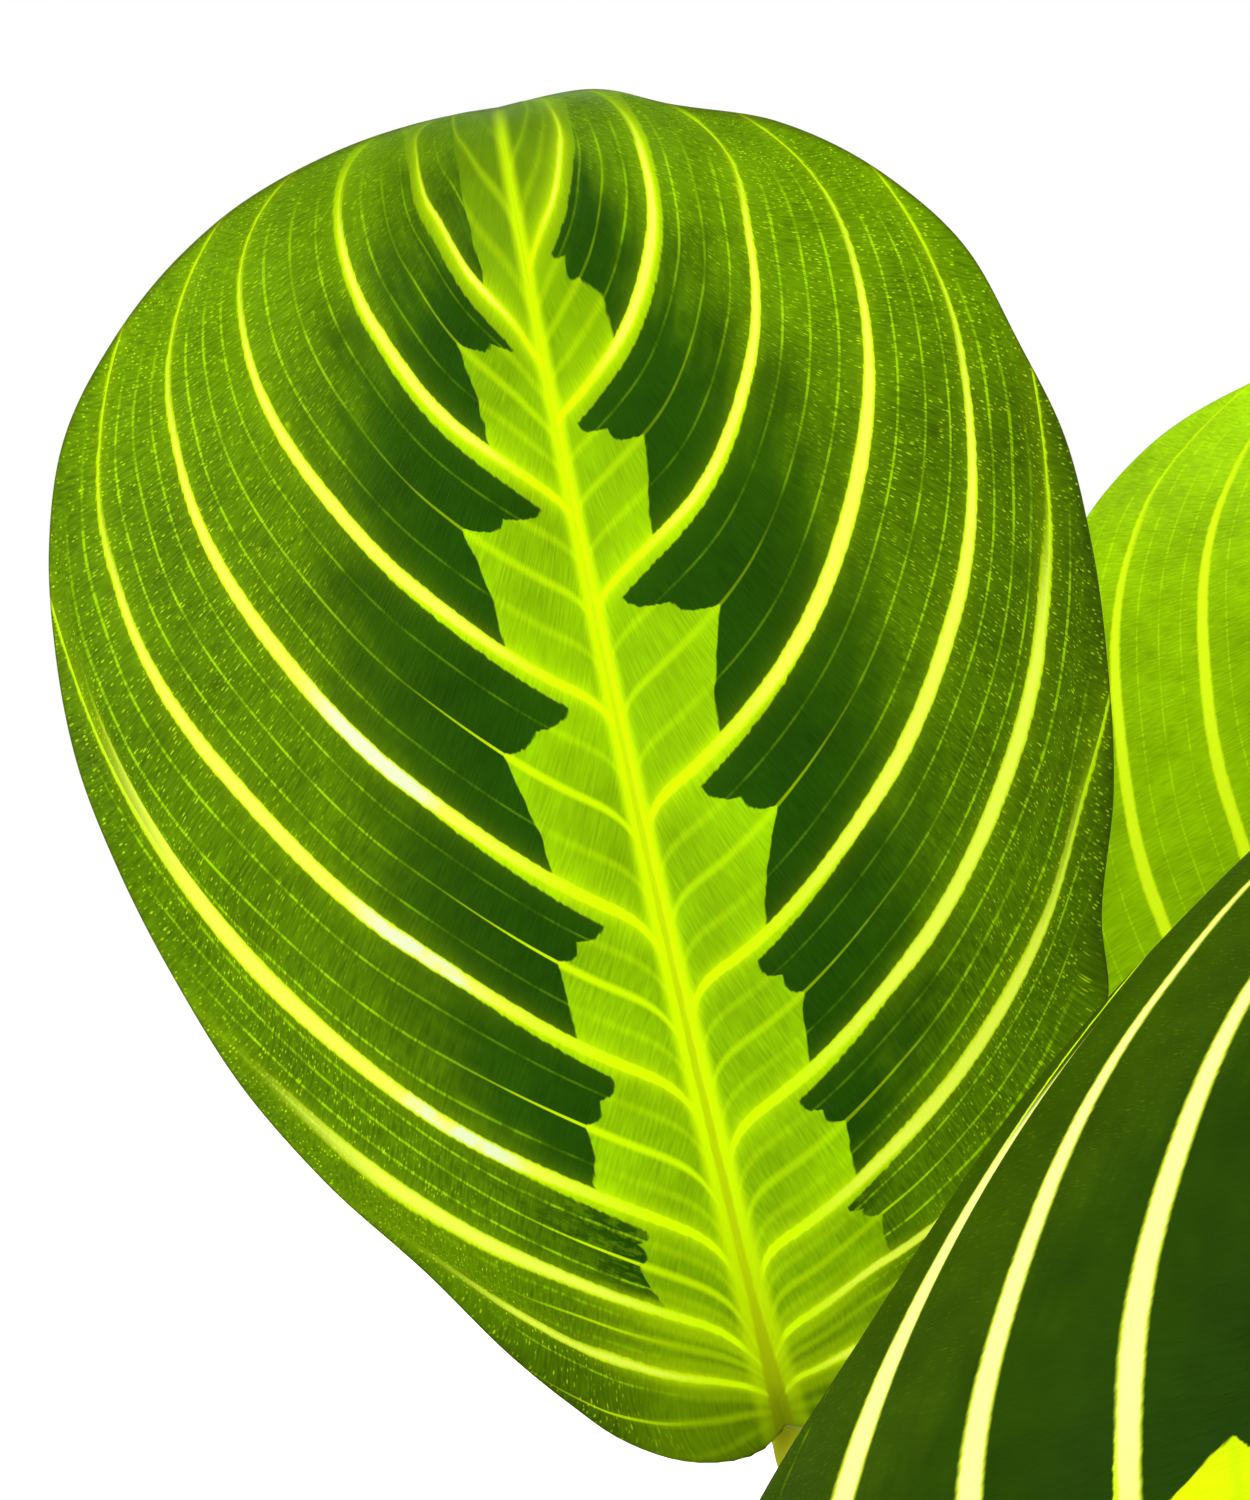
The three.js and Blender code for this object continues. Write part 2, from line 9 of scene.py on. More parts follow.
# %% Load the measured model
import bpy
import math
import numpy as np
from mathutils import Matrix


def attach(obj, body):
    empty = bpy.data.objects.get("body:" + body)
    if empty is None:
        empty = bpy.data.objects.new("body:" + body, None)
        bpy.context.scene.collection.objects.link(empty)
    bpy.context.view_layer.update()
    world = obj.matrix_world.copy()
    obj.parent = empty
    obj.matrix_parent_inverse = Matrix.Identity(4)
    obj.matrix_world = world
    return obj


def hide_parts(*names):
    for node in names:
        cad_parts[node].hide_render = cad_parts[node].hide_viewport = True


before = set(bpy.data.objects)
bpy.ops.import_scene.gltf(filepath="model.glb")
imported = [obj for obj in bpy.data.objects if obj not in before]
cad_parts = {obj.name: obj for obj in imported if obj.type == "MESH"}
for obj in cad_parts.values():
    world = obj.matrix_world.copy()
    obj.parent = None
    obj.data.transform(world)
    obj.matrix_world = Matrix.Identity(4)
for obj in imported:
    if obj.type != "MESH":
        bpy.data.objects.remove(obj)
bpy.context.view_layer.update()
MM = 0.001
scene = bpy.context.scene

# %% [markdown]
# The camera comes before the pieces. It looks level with the tallest leaf, three degrees downwards, with a
# long lens, so that the face-on leaf fills the picture and the pot stays below its lower edge.

# %% Camera
CAMERA_AT = np.array([-45.0, -290.0, 239.0]) * MM
CAMERA_DOWN = 3.0

camera = bpy.data.objects.new("camera", bpy.data.cameras.new("camera"))
scene.collection.objects.link(camera)
camera.data.sensor_fit = "VERTICAL"
camera.data.sensor_height = 36.0
camera.data.lens = 75.8
camera.data.clip_start = 0.01
camera.location = CAMERA_AT
camera.rotation_euler = (math.radians(90.0 - CAMERA_DOWN), 0.0, 0.0)
scene.camera = camera
print("camera at", [round(float(v), 3) for v in CAMERA_AT])

# %% [markdown]
# The light and the materials are made of many small sums. They could be joined by hand in the editor, but as
# text they are shorter and can be read. So the first small class stands for what a node gives out, and the
# usual signs between two of them add one more node.

# %% Signs between nodes
class Value:
    """What a shader node gives out. Each sign between two values adds one math node to their tree."""

    def __init__(self, sums, socket):
        self.sums, self.socket = sums, socket

    def __abs__(self):
        return self.sums.math("ABSOLUTE", self)


SIGNS = {"add": "ADD", "sub": "SUBTRACT", "mul": "MULTIPLY", "truediv": "DIVIDE", "pow": "POWER"}
for sign, operation in SIGNS.items():
    setattr(Value, f"__{sign}__", lambda a, b, kind=operation: a.sums.math(kind, a, b))
    setattr(Value, f"__r{sign}__", lambda a, b, kind=operation: a.sums.math(kind, b, a))
print("signs that add a node:", list(SIGNS))

# %% [markdown]
# The second class puts nodes into one tree and joins them. It takes either a number or another node's output
# wherever a value is wanted. Each of its methods is named for what it does to a value, a colour or a place,
# and all of them go through the one that makes a node.

# %% Shader helpers
class Sums:
    """Writes shader nodes into one node tree."""

    def __init__(self, tree):
        self.tree = tree

    def put(self, value, socket):
        """A number or colour is set on the socket, a value is linked to it."""
        if isinstance(value, Value):
            self.tree.links.new(value.socket, socket)
        else:
            socket.default_value = value

    def made(self, kind, inputs, output=0, **settings):
        """One output of a new node, whose inputs are given by number or name; of several outputs, all in a
        list."""
        new = self.tree.nodes.new(kind)
        for key, value in settings.items():
            setattr(new, key, value)
        for key, value in inputs.items():
            self.put(value, new.inputs[key])
        if isinstance(output, tuple):
            return [Value(self, new.outputs[key]) for key in output]
        return Value(self, new.outputs[output])

    def math(self, operation, a, b=0.0, c=0.0):
        """One sum of up to three values."""
        return self.made("ShaderNodeMath", {0: a, 1: b, 2: c}, operation=operation)

    def ramp(self, value, low, high, start=0.0, end=1.0, kind="SMOOTHSTEP"):
        """The value read from start to end while it goes from low to high, held outside."""
        inputs = {"Value": value, "From Min": low, "From Max": high, "To Min": start, "To Max": end}
        return self.made("ShaderNodeMapRange", inputs, "Result", interpolation_type=kind)

    def fall(self, value, low, high):
        """The same from one to nothing."""
        return self.ramp(value, low, high, 1.0, 0.0)

    def line(self, value, low, high, start=0.0, end=1.0):
        """The same as the ramp, but straight."""
        return self.ramp(value, low, high, start, end, "LINEAR")

    def pick(self, factor, a, b):
        """A number between a and b."""
        return self.made("ShaderNodeMix", {0: factor, 2: a, 3: b}, data_type="FLOAT", clamp_factor=True)

    def colour(self, factor, a, b):
        """A colour between a and b."""
        return self.made("ShaderNodeMix", {0: factor, 6: a, 7: b}, 2, data_type="RGBA", clamp_factor=True)

    def coats(self, ground, *coats):
        """The ground with colours laid on it in turn, each where its mask is one."""
        for mask, colour in coats:
            ground = self.colour(mask, ground, colour)
        return ground

    def mixed(self, factor, a, b):
        """A shader between a and b."""
        return self.made("ShaderNodeMixShader", {0: factor, 1: a, 2: b})

    def scaled(self, colour, factor):
        """A colour made brighter or darker."""
        return self.made("ShaderNodeVectorMath", {0: colour, "Scale": factor}, operation="SCALE")

    def place(self, x, y=0.0, z=0.0):
        """Three numbers as one place."""
        return self.made("ShaderNodeCombineXYZ", {0: x, 1: y, 2: z})

    def parts(self, place):
        """The three numbers of a place or a colour."""
        return self.made("ShaderNodeSeparateXYZ", {0: place}, (0, 1, 2))

    def spot(self):
        """The place on the piece, in metres."""
        return self.made("ShaderNodeTexCoord", {}, "Object")

    def pair(self, uv_map):
        """The two numbers of one of the mesh's maps."""
        return self.parts(self.made("ShaderNodeUVMap", {}, uv_map=uv_map))[:2]

    def noise(self, place, scale=1.0, detail=2.0, rough=0.5):
        """Soft noise around a half."""
        return self.made("ShaderNodeTexNoise",
                         {"Vector": place, "Scale": scale, "Detail": detail, "Roughness": rough}, "Fac")

    def cells(self, place, scale, **settings):
        """Distance to the nearest of strewn points, and two chance numbers of that point's cell."""
        distance, colour = self.made("ShaderNodeTexVoronoi", {"Vector": place, "Scale": scale},
                                     ("Distance", "Color"), feature="F1", **settings)
        return [distance] + self.parts(colour)[:2]

    def gloss(self, inputs, relief=None):
        """The Principled shader with the given inputs; relief is the height, strength and distance of its
        bump."""
        if relief:
            bump = self.made("ShaderNodeBump", dict(zip(("Height", "Strength", "Distance"), relief)))
            inputs = {**inputs, "Normal": bump}
        return self.made("ShaderNodeBsdfPrincipled", inputs)

    def surface(self, shader, kind="ShaderNodeOutputMaterial"):
        """The shader becomes the tree's surface."""
        self.made(kind, {"Surface": shader}, ())


print("sums that a tree can write:", [name for name in vars(Sums) if not name.startswith("_")])

# %% [markdown]
# A finish starts from an empty tree. Colours are given as they look on a screen, because that is how they
# were judged, and a shader wants them as amounts of light, so one formula turns the one into the other.

# %% New finishes and colours
def new_finish(name):
    """A new material, and the sums of its emptied tree."""
    finish = bpy.data.materials.new(name)
    finish.use_nodes = True
    finish.node_tree.nodes.clear()
    return finish, Sums(finish.node_tree)


def tint(red, green, blue):
    """A colour given as it is seen, 0 to 255, turned into amounts of light."""
    seen_values = np.array([red, green, blue]) / 255.0
    light = np.where(seen_values <= 0.04045, seen_values / 12.92, ((seen_values + 0.055) / 1.055) ** 2.4)
    return (*[float(v) for v in light], 1.0)


print("lime as light:", [round(v, 3) for v in tint(160, 210, 0)])

# %% [markdown]
# A thin leaf glows when light comes through it from behind. So the studio is a white room that is brighter
# behind and above the plant than in front of it, with one large soft lamp behind. The camera itself sees
# plain white. The colours are shown without a film look, because that would take the strength out of the
# greens.

# %% Studio light
ROOM_FRONT = 0.5
ROOM_BACK = 1.7
ROOM_SEEN = 1.0

scene.view_settings.view_transform = "Standard"
scene.view_settings.look = "None"
scene.world = bpy.data.worlds.new("studio")
scene.world.use_nodes = True
scene.world.node_tree.nodes.clear()
w = Sums(scene.world.node_tree)
_, backwards, upwards = w.parts(w.made("ShaderNodeTexCoord", {}, "Generated"))
strength = w.ramp(w.math("MULTIPLY_ADD", upwards, 0.6, backwards), -0.7, 0.8, ROOM_FRONT, ROOM_BACK)
room = w.made("ShaderNodeBackground", {"Strength": strength})
seen = w.made("ShaderNodeBackground", {"Color": (1, 1, 1, 1), "Strength": ROOM_SEEN})
w.surface(w.mixed(w.made("ShaderNodeLightPath", {}, "Is Camera Ray"), room, seen), "ShaderNodeOutputWorld")


def softbox(name, place, target, width, watts):
    """A square area lamp of that width in metres, turned to face the target."""
    lamp = bpy.data.objects.new(name, bpy.data.lights.new(name, "AREA"))
    lamp.data.size = width
    lamp.data.energy = watts
    lamp.location = place
    towards = np.array(target) - np.array(place)
    flat = math.hypot(towards[0], towards[1])
    lamp.rotation_euler = (math.atan2(flat, -towards[2]), 0.0, math.atan2(towards[0], -towards[1]) + math.pi)
    lamp.visible_camera = False
    scene.collection.objects.link(lamp)


softbox("back_lamp", (0.25, 0.9, 0.75), (0.0, 0.0, 0.2), 0.9, 9.0)
softbox("left_lamp", (-0.8, -0.7, 0.9), (0.0, 0.0, 0.15), 0.6, 12.0)
print("room light", ROOM_FRONT, "in front,", ROOM_BACK, "behind")

# %% [markdown]
# Most pieces are grids of points. One helper turns a set of points with four-sided and three-sided faces into
# a mesh and stores any number of two-number maps on its corners. The maps carry the leaf's own measures, such
# as the count of veins, to the materials.

# %% Mesh helpers
def put_mesh(name, points, quads, triangles, finishes, maps=None, slots=None):
    """A mesh object from whole arrays: points in metres and faces as rows of point numbers. Each map gives
    its name and two numbers for every corner: those of the quads, row by row, and then those of the
    triangles."""
    mesh = bpy.data.meshes.new(name)
    corners = np.concatenate([quads.ravel(), triangles.ravel()]).astype(np.int32)
    starts = np.concatenate([np.arange(len(quads)) * 4, len(quads) * 4 + np.arange(len(triangles)) * 3])
    mesh.vertices.add(len(points))
    mesh.vertices.foreach_set("co", np.asarray(points, np.float32).ravel())
    mesh.loops.add(len(corners))
    mesh.loops.foreach_set("vertex_index", corners)
    mesh.polygons.add(len(starts))
    mesh.polygons.foreach_set("loop_start", starts.astype(np.int32))
    for finish in finishes:
        mesh.materials.append(finish)
    if slots is not None:
        mesh.polygons.foreach_set("material_index", np.asarray(slots, np.int32))
    mesh.update(calc_edges=True)
    for map_name, values in (maps or {}).items():
        layer = mesh.uv_layers.new(name=map_name, do_init=False)
        layer.uv.foreach_set("vector", np.asarray(values, np.float32).ravel())
    mesh.shade_smooth()
    if mesh.validate():
        print("mended mesh", name)
    piece = bpy.data.objects.new(name, mesh)
    scene.collection.objects.link(piece)
    return piece


def skin(rings):
    """Points and faces of a closed skin over rings of points (ring, around, xyz), each end closed by a fan of
    triangles to the middle of its ring."""
    count, around = rings.shape[:2]
    points = np.concatenate([rings.reshape(-1, 3), rings[:1].mean(axis=1), rings[-1:].mean(axis=1)])
    here = np.arange(count * around).reshape(count, around)
    beside = np.roll(here, -1, axis=1)
    quads = np.stack([here[:-1], beside[:-1], beside[1:], here[1:]], axis=-1).reshape(-1, 4)
    first = np.stack([beside[0], here[0], np.full(around, count * around)], axis=-1)
    last = np.stack([here[-1], beside[-1], np.full(around, count * around + 1)], axis=-1)
    return points, quads, np.concatenate([first, last])


def joined(parts):
    """Several skins as one set of points and faces."""
    shifts = np.cumsum([0] + [len(points) for points, _, _ in parts])
    return (np.concatenate([points for points, _, _ in parts]),
            np.concatenate([quads + shift for (_, quads, _), shift in zip(parts, shifts)]),
            np.concatenate([triangles + shift for (_, _, triangles), shift in zip(parts, shifts)]))


print("mesh helpers ready")

# %% [markdown]
# Stalks, margins and walls are curves. A few short formulas draw them: a circle, a cubic curve that two
# points draw towards themselves, a smooth step, and a curve through any knots that keeps an even pace.

# %% Curve helpers
def circle(count):
    """Cosine and sine of evenly spaced angles round a full turn."""
    angle = 2 * np.pi * np.arange(count) / count
    return np.cos(angle), np.sin(angle)


def bezier(first, second, third, fourth, t):
    """Cubic curve from the first to the fourth point that the two between them draw towards themselves."""
    return (first * (1 - t) ** 3 + second * (3 * t * (1 - t) ** 2)
            + third * (3 * t * t * (1 - t)) + fourth * t ** 3)


def ease(low, high, value):
    """Smooth step from 0 at low to 1 at high."""
    share = np.clip((value - low) / (high - low), 0.0, 1.0)
    return share * share * (3.0 - 2.0 * share)


def unit(vector):
    """The same direction with length one."""
    vector = np.asarray(vector, float)
    return vector / np.linalg.norm(vector, axis=-1, keepdims=True)


def running(steps):
    """Running sum of the steps that starts at nothing."""
    return np.concatenate([[0.0], np.cumsum(steps)])


def smooth_curve(knots, tension, count):
    """Points spaced evenly by length on the curve through the knots whose pace between two knots follows
    their distance to the power of the tension (a half is gentle, one follows the distance itself)."""
    knots = np.asarray(knots, float)
    padded = np.concatenate([2 * knots[:1] - knots[1:2], knots, 2 * knots[-1:] - knots[-2:-1]])
    pace = np.linalg.norm(np.diff(padded, axis=0), axis=1)[:, None] ** tension
    before, ahead, after = pace[:-2], pace[1:-1], pace[2:]
    p0, p1, p2, p3 = padded[:-3], padded[1:-2], padded[2:-1], padded[3:]
    leave = ((p1 - p0) / before - (p2 - p0) / (before + ahead) + (p2 - p1) / ahead) * ahead
    arrive = ((p2 - p1) / ahead - (p3 - p1) / (ahead + after) + (p3 - p2) / after) * ahead
    u = np.linspace(0.0, 1.0, 201)[None, :-1, None]
    p1, p2, leave, arrive = (v[:, None] for v in (p1, p2, leave, arrive))
    dense = (p1 + leave * u + (3 * p2 - 3 * p1 - 2 * leave - arrive) * u ** 2
             + (2 * p1 - 2 * p2 + leave + arrive) * u ** 3)
    dense = np.concatenate([dense.reshape(-1, knots.shape[1]), knots[-1:]])
    run = running(np.linalg.norm(np.diff(dense, axis=0), axis=1))
    wanted = np.linspace(0.0, run[-1], count)
    return np.stack([np.interp(wanted, run, dense[:, k]) for k in range(knots.shape[1])], axis=-1)


print("half a smooth step:", ease(0.0, 1.0, 0.5))

# %% [markdown]
# A prayer-plant blade is not quite symmetrical, so each half has its own margin and its own main veins. The
# numbers are in blade lengths. A vein is given by where it leaves the midrib and by the share of the margin
# at which it ends. Outline and veins are the measured model's own. On the way each vein swerves a little from
# its smooth line, by some thousandths of the blade at seven places. A blotch lies between two veins, and four
# rows give its measures.

# %% Outline and veins of the blade
OUTLINE = {
    "left": [
        (0, 0), (0.028, -0.014), (0.063, -0.012), (0.112, 0.016), (0.142, 0.051), (0.17, 0.089),
        (0.213, 0.157), (0.271, 0.236), (0.312, 0.309), (0.344, 0.403), (0.364, 0.483), (0.378, 0.564),
        (0.379, 0.639), (0.369, 0.714), (0.342, 0.785), (0.289, 0.847), (0.208, 0.905), (0.12, 0.947),
        (0.055, 0.975), (0, 1),
    ],
    "right": [
        (0, 0), (0.03, -0.004), (0.07, 0.008), (0.12, 0.04), (0.172, 0.083), (0.229, 0.147), (0.267, 0.202),
        (0.291, 0.243), (0.299, 0.3), (0.326, 0.385), (0.342, 0.47), (0.352, 0.56), (0.349, 0.641),
        (0.328, 0.712), (0.301, 0.785), (0.255, 0.843), (0.191, 0.894), (0.117, 0.931), (0.06, 0.979), (0, 1),
    ],
}
VEINS = {
    "left": [
        (0, 0), (0.03, 0.278), (0.062, 0.405), (0.13, 0.625), (0.241, 0.772), (0.361, 0.843), (0.526, 0.886),
        (0.667, 0.937), (0.78, 0.968), (1, 1),
    ],
    "right": [
        (0, 0), (0.03, 0.15), (0.067, 0.28), (0.124, 0.465), (0.207, 0.645), (0.316, 0.783), (0.446, 0.858),
        (0.6, 0.899), (0.729, 0.955), (0.836, 0.988), (1, 1),
    ],
}
VEIN_ANGLE = {"left": 56.0, "right": 69.0}
LOWEST_VEIN_MORE, HIGHEST_VEIN_LESS, END_AWAY = 70.0, 45.0, 15.0
VEIN_LEAVES_BY, VEIN_ARRIVES_BY = 0.36, 0.42
MARGIN_STRETCH = 0.06
VEIN_SHIFT_UNIT = 0.001
VEIN_SHIFT_AT = (0.0, 0.1, 0.3, 0.5, 0.7, 0.85, 1.0)
VEIN_SHIFT = {
    "left": [
        (0, -1, 1, 5, 6, 3, 0), (0, -1, -1, 1, 2, 1, 0), (0, 1, 4, 0, 0, 1, 0), (0, 3, -3, -12, -9, -3, 0),
        (0, 3, 0, -6, -5, 0, 0), (4, 7, 4, 0, 1, 3, 0), (0, 2, 5, 1, 0, 0, 0), (4, 8, 11, 3, -7, -6, 0),
    ],
    "right": [
        (0, -5, -8, -6, -4, 0, 0), (0, 2, -10, -15, -17, -15, -4), (3, 6, 3, 3, 4, -2, 0),
        (0, 0, -4, -7, -4, -1, 0), (3, 7, 3, -2, -7, -3, 0), (0, 2, 5, 3, 4, 6, 0), (0, 0, 6, 4, 0, 4, 0),
        (0, 2, 4, 4, 0, -2, 0), (0, 1, 4, 1, -4, 0, 0),
    ],
}
FIRST_BLOTCH = 2
BLOTCHES = {
    "left": {
        "tip": (0.061, 0.058, 0.0385, 0.0317, 0.0206, 0.0158, 0.028),
        "notch": (0.070, 0.0845, 0.077, 0.0825, 0.078, 0.057, 0.034),
        "foot": (0.060, 0.0887, 0.075, 0.066, 0.0653, 0.0467, 0.030),
        "far": (0.13, 0.215, 0.245, 0.25, 0.23, 0.17, 0.07),
    },
    "right": {
        "tip": (0.080, 0.0632, 0.0584, 0.0468, 0.0206, 0.0145, 0.022),
        "notch": (0.100, 0.093, 0.084, 0.095, 0.086, 0.058, 0.036),
        "foot": (0.100, 0.089, 0.076, 0.069, 0.066, 0.048, 0.051),
        "far": (0.07, 0.175, 0.23, 0.25, 0.245, 0.175, 0.12),
    },
}
print("main veins:", {side: len(veins) - 2 for side, veins in VEINS.items()})

# %% [markdown]
# A vein line leaves the midrib at a steep angle and runs into the margin nearly along it, which is what makes
# the herringbone. A cubic curve has just the four points for that. The lines between two main veins follow
# the same rule, because the numbers between them are read from a smooth curve that never turns back.

# %% Vein lines
SIDES = {"left": -1, "right": 1}
FINE_STEPS = 4001
MARGIN = {side: smooth_curve(knots, 1.0, FINE_STEPS) for side, knots in OUTLINE.items()}
VEIN_START = {side: np.array(veins, float)[:, 0] for side, veins in VEINS.items()}
VEIN_END = {side: np.array(veins, float)[:, 1] for side, veins in VEINS.items()}


def rising(xs, ys, x):
    """Value at x of the smooth curve through rising knots that never overshoots them: cubic pieces whose
    slope at a knot is the weighted harmonic mean of the slopes beside it."""
    step = np.diff(xs)
    slope = np.diff(ys) / step
    bend = np.concatenate([slope[:1], slope[1:], slope[-1:]])
    w1 = 2 * step[1:] + step[:-1]
    w2 = step[1:] + 2 * step[:-1]
    bend[1:-1] = (w1 + w2) / (w1 / slope[:-1] + w2 / slope[1:])
    k = np.clip(np.searchsorted(xs, x, side="right") - 1, 0, len(xs) - 2)
    t = (x - xs[k]) / step[k]
    return ((2 * t ** 3 - 3 * t ** 2 + 1) * ys[k] + (t ** 3 - 2 * t ** 2 + t) * step[k] * bend[k]
            + (3 * t ** 2 - 2 * t ** 3) * ys[k + 1] + (t ** 3 - t ** 2) * step[k] * bend[k + 1])


def margin_point(side, share):
    """Point of the flat margin at a share of its length."""
    where = np.clip(share, 0, 1) * (len(MARGIN[side]) - 1)
    steps = np.arange(len(MARGIN[side]))
    return np.interp(where, steps, MARGIN[side][:, 0]), np.interp(where, steps, MARGIN[side][:, 1])


def vein_count(side, station):
    """How many main veins leave the midrib below this station, as a smooth number."""
    return rising(VEIN_START[side], np.arange(len(VEINS[side]), dtype=float), station)


def flat_point(side, station, t):
    """Flat half blade: the point at share t of the vein line that leaves the midrib at a station. The line is
    a cubic curve that leaves at the vein angle and runs into the margin nearly along it."""
    last = len(VEINS[side]) - 1
    count = vein_count(side, station)
    share = np.clip(rising(VEIN_START[side], VEIN_END[side], station), 0, 1)
    end_x, end_y = margin_point(side, share)
    before = margin_point(side, share - MARGIN_STRETCH)
    after = margin_point(side, share + MARGIN_STRETCH)
    away = math.radians(END_AWAY) * ease(0, 1, count) * (1 - ease(last - 1.5, last, count))
    arriving = np.arctan2(after[0] - before[0], after[1] - before[1]) + away
    leaving = (math.radians(VEIN_ANGLE[side]) + math.radians(LOWEST_VEIN_MORE) * np.exp(-1.1 * count)
               - math.radians(HIGHEST_VEIN_LESS) * ease(last - 2.5, last - 0.5, count))
    reach = np.hypot(end_x, end_y - station)
    first = VEIN_LEAVES_BY * reach
    second = VEIN_ARRIVES_BY * reach
    return (bezier(0.0, np.sin(leaving) * first, end_x - np.sin(arriving) * second, end_x, t),
            bezier(station, station + np.cos(leaving) * first, end_y - np.cos(arriving) * second, end_y, t))


print("widest at:", {side: float(MARGIN[side][:, 0].max().round(3)) for side in SIDES})

# %% [markdown]
# The flat blade is then bent: the midrib curls back near its tip, each half folds up from the midrib and bows
# down again towards its margin, and the margin has slow waves. Between the main veins the blade swells a
# little, which is the quilting that side light shows. The two faces are the same surface moved half the
# thickness out and in.

# %% Blade in its form
BLADE_THICKNESS = 0.36
QUILT = 0.0016
CURL_START = 0.82
SIDEWAYS = 0.04
HALF_WIDTH = 0.35
RIGHT_PHASE = 1.3
FORM = {
    "width": 1.0, "fold": 14.0, "bow": 34.0, "droop": 50.0, "curl": 20.0, "wave": 2.5, "waves": 3.0,
    "rows": 84, "columns": 26, "lobes": 1.0, "notches": 1.0,
}


def midrib_bend(leaf, y):
    """Along, back and angle of the midrib at y: its angle grows evenly by the droop and faster, by the curl,
    near the tip, and the place is the running sum of its direction."""
    steps = np.linspace(0.0, 1.02, 1021)
    angle = (math.radians(leaf["droop"]) * steps
             + math.radians(leaf["curl"]) * np.clip((steps - CURL_START) / (1 - CURL_START), 0, 1) ** 1.5)
    middle = (angle[1:] + angle[:-1]) / 2
    along = running(np.cos(middle) * np.diff(steps))
    back = running(np.sin(middle) * np.diff(steps))
    top = np.maximum(y, 0)
    along = np.interp(top, steps, along) + np.minimum(y, 0)
    return along, np.interp(top, steps, back), np.interp(top, steps, angle)


def blade_axes(leaf):
    """The blade's right, along-to-the-tip and out-of-its-face directions in the plant."""
    along = unit(leaf["tip"])
    right = unit(np.cross(along, leaf["face"]))
    return right, along, np.cross(right, along)


def formed_point(leaf, side, station, t):
    """Middle surface of the blade in millimetres in the plant: an arc across from the folded start, carried
    on the bent midrib, with waves that grow as t cubed and quilting that is highest halfway between two main
    veins."""
    x, y = flat_point(side, station, t)
    along, back, angle = midrib_bend(leaf, y)
    out = x * leaf["width"]
    fold = math.radians(leaf["fold"])
    bend = math.radians(leaf["bow"]) / HALF_WIDTH
    across = (math.sin(fold) - np.sin(fold - bend * out)) / bend
    swing = 2 * math.pi * leaf["waves"] * y + leaf["phase"] + (RIGHT_PHASE if side == "right" else 0.0)
    wave = leaf["wave"] / leaf["length"] * t ** 3 * np.minimum(out / 0.25, 1) * np.sin(swing)
    swell = QUILT * (0.5 - 0.5 * np.cos(2 * math.pi * vein_count(side, station)))
    swell = swell * ease(0, 0.06, x) * (1 - ease(0.8, 1, t)) * ease(0.02, 0.12, station)
    lift = (np.cos(fold - bend * out) - math.cos(fold)) / bend + wave + swell
    local = np.stack([SIDES[side] * across - SIDEWAYS * y * (1 - y), along + lift * np.sin(angle),
                      lift * np.cos(angle) - back], axis=-1) * leaf["length"]
    return np.asarray(leaf["base"], float) + local @ np.stack(blade_axes(leaf)), x, y


print("blade thickness", BLADE_THICKNESS, "mm")

# %% [markdown]
# The grid's rows follow the veins and its columns follow the share of the way out, so each face knows its
# place between two veins. Six small maps carry that to the material: the vein count with the way gone square
# to the veins, the flat place, the station with the distance between two main veins, the distances to the
# midrib and to the margin, and two maps with the measures of the dark blotch.

# %% Maps of the pattern
MAPS = ("veins", "flat", "spacing", "reach", "lobe", "depth")


def blade_rows(rows):
    """Stations of the grid's rows, closer where the margin turns fast: even steps of a blend of the station
    and the share of the margin."""
    fine = np.linspace(0, 1, FINE_STEPS)
    measure = 0.3 * fine + 0.35 * sum(rising(VEIN_START[s], VEIN_END[s], fine) for s in SIDES)
    return np.interp(np.linspace(measure[0], measure[-1], rows), measure, fine)


def swerve(side, count, t):
    """How far each vein line lies from its smooth way, in blade lengths: eased between the vein's seven
    places, and blended between neighbouring veins."""
    veins = np.pad(np.array(VEIN_SHIFT[side], float) * VEIN_SHIFT_UNIT, ((1, 1), (0, 0)))
    at_row = np.stack([np.interp(count[:, 0], np.arange(len(veins)), bends) for bends in veins.T], axis=-1)
    knot = np.clip(np.searchsorted(VEIN_SHIFT_AT, t, side="right") - 1, 0, len(VEIN_SHIFT_AT) - 2)
    low, high = np.take(VEIN_SHIFT_AT, knot), np.take(VEIN_SHIFT_AT, knot + 1)
    start, end = np.take_along_axis(at_row, knot, axis=1), np.take_along_axis(at_row, knot + 1, axis=1)
    return start + (end - start) * ease(low, high, t)


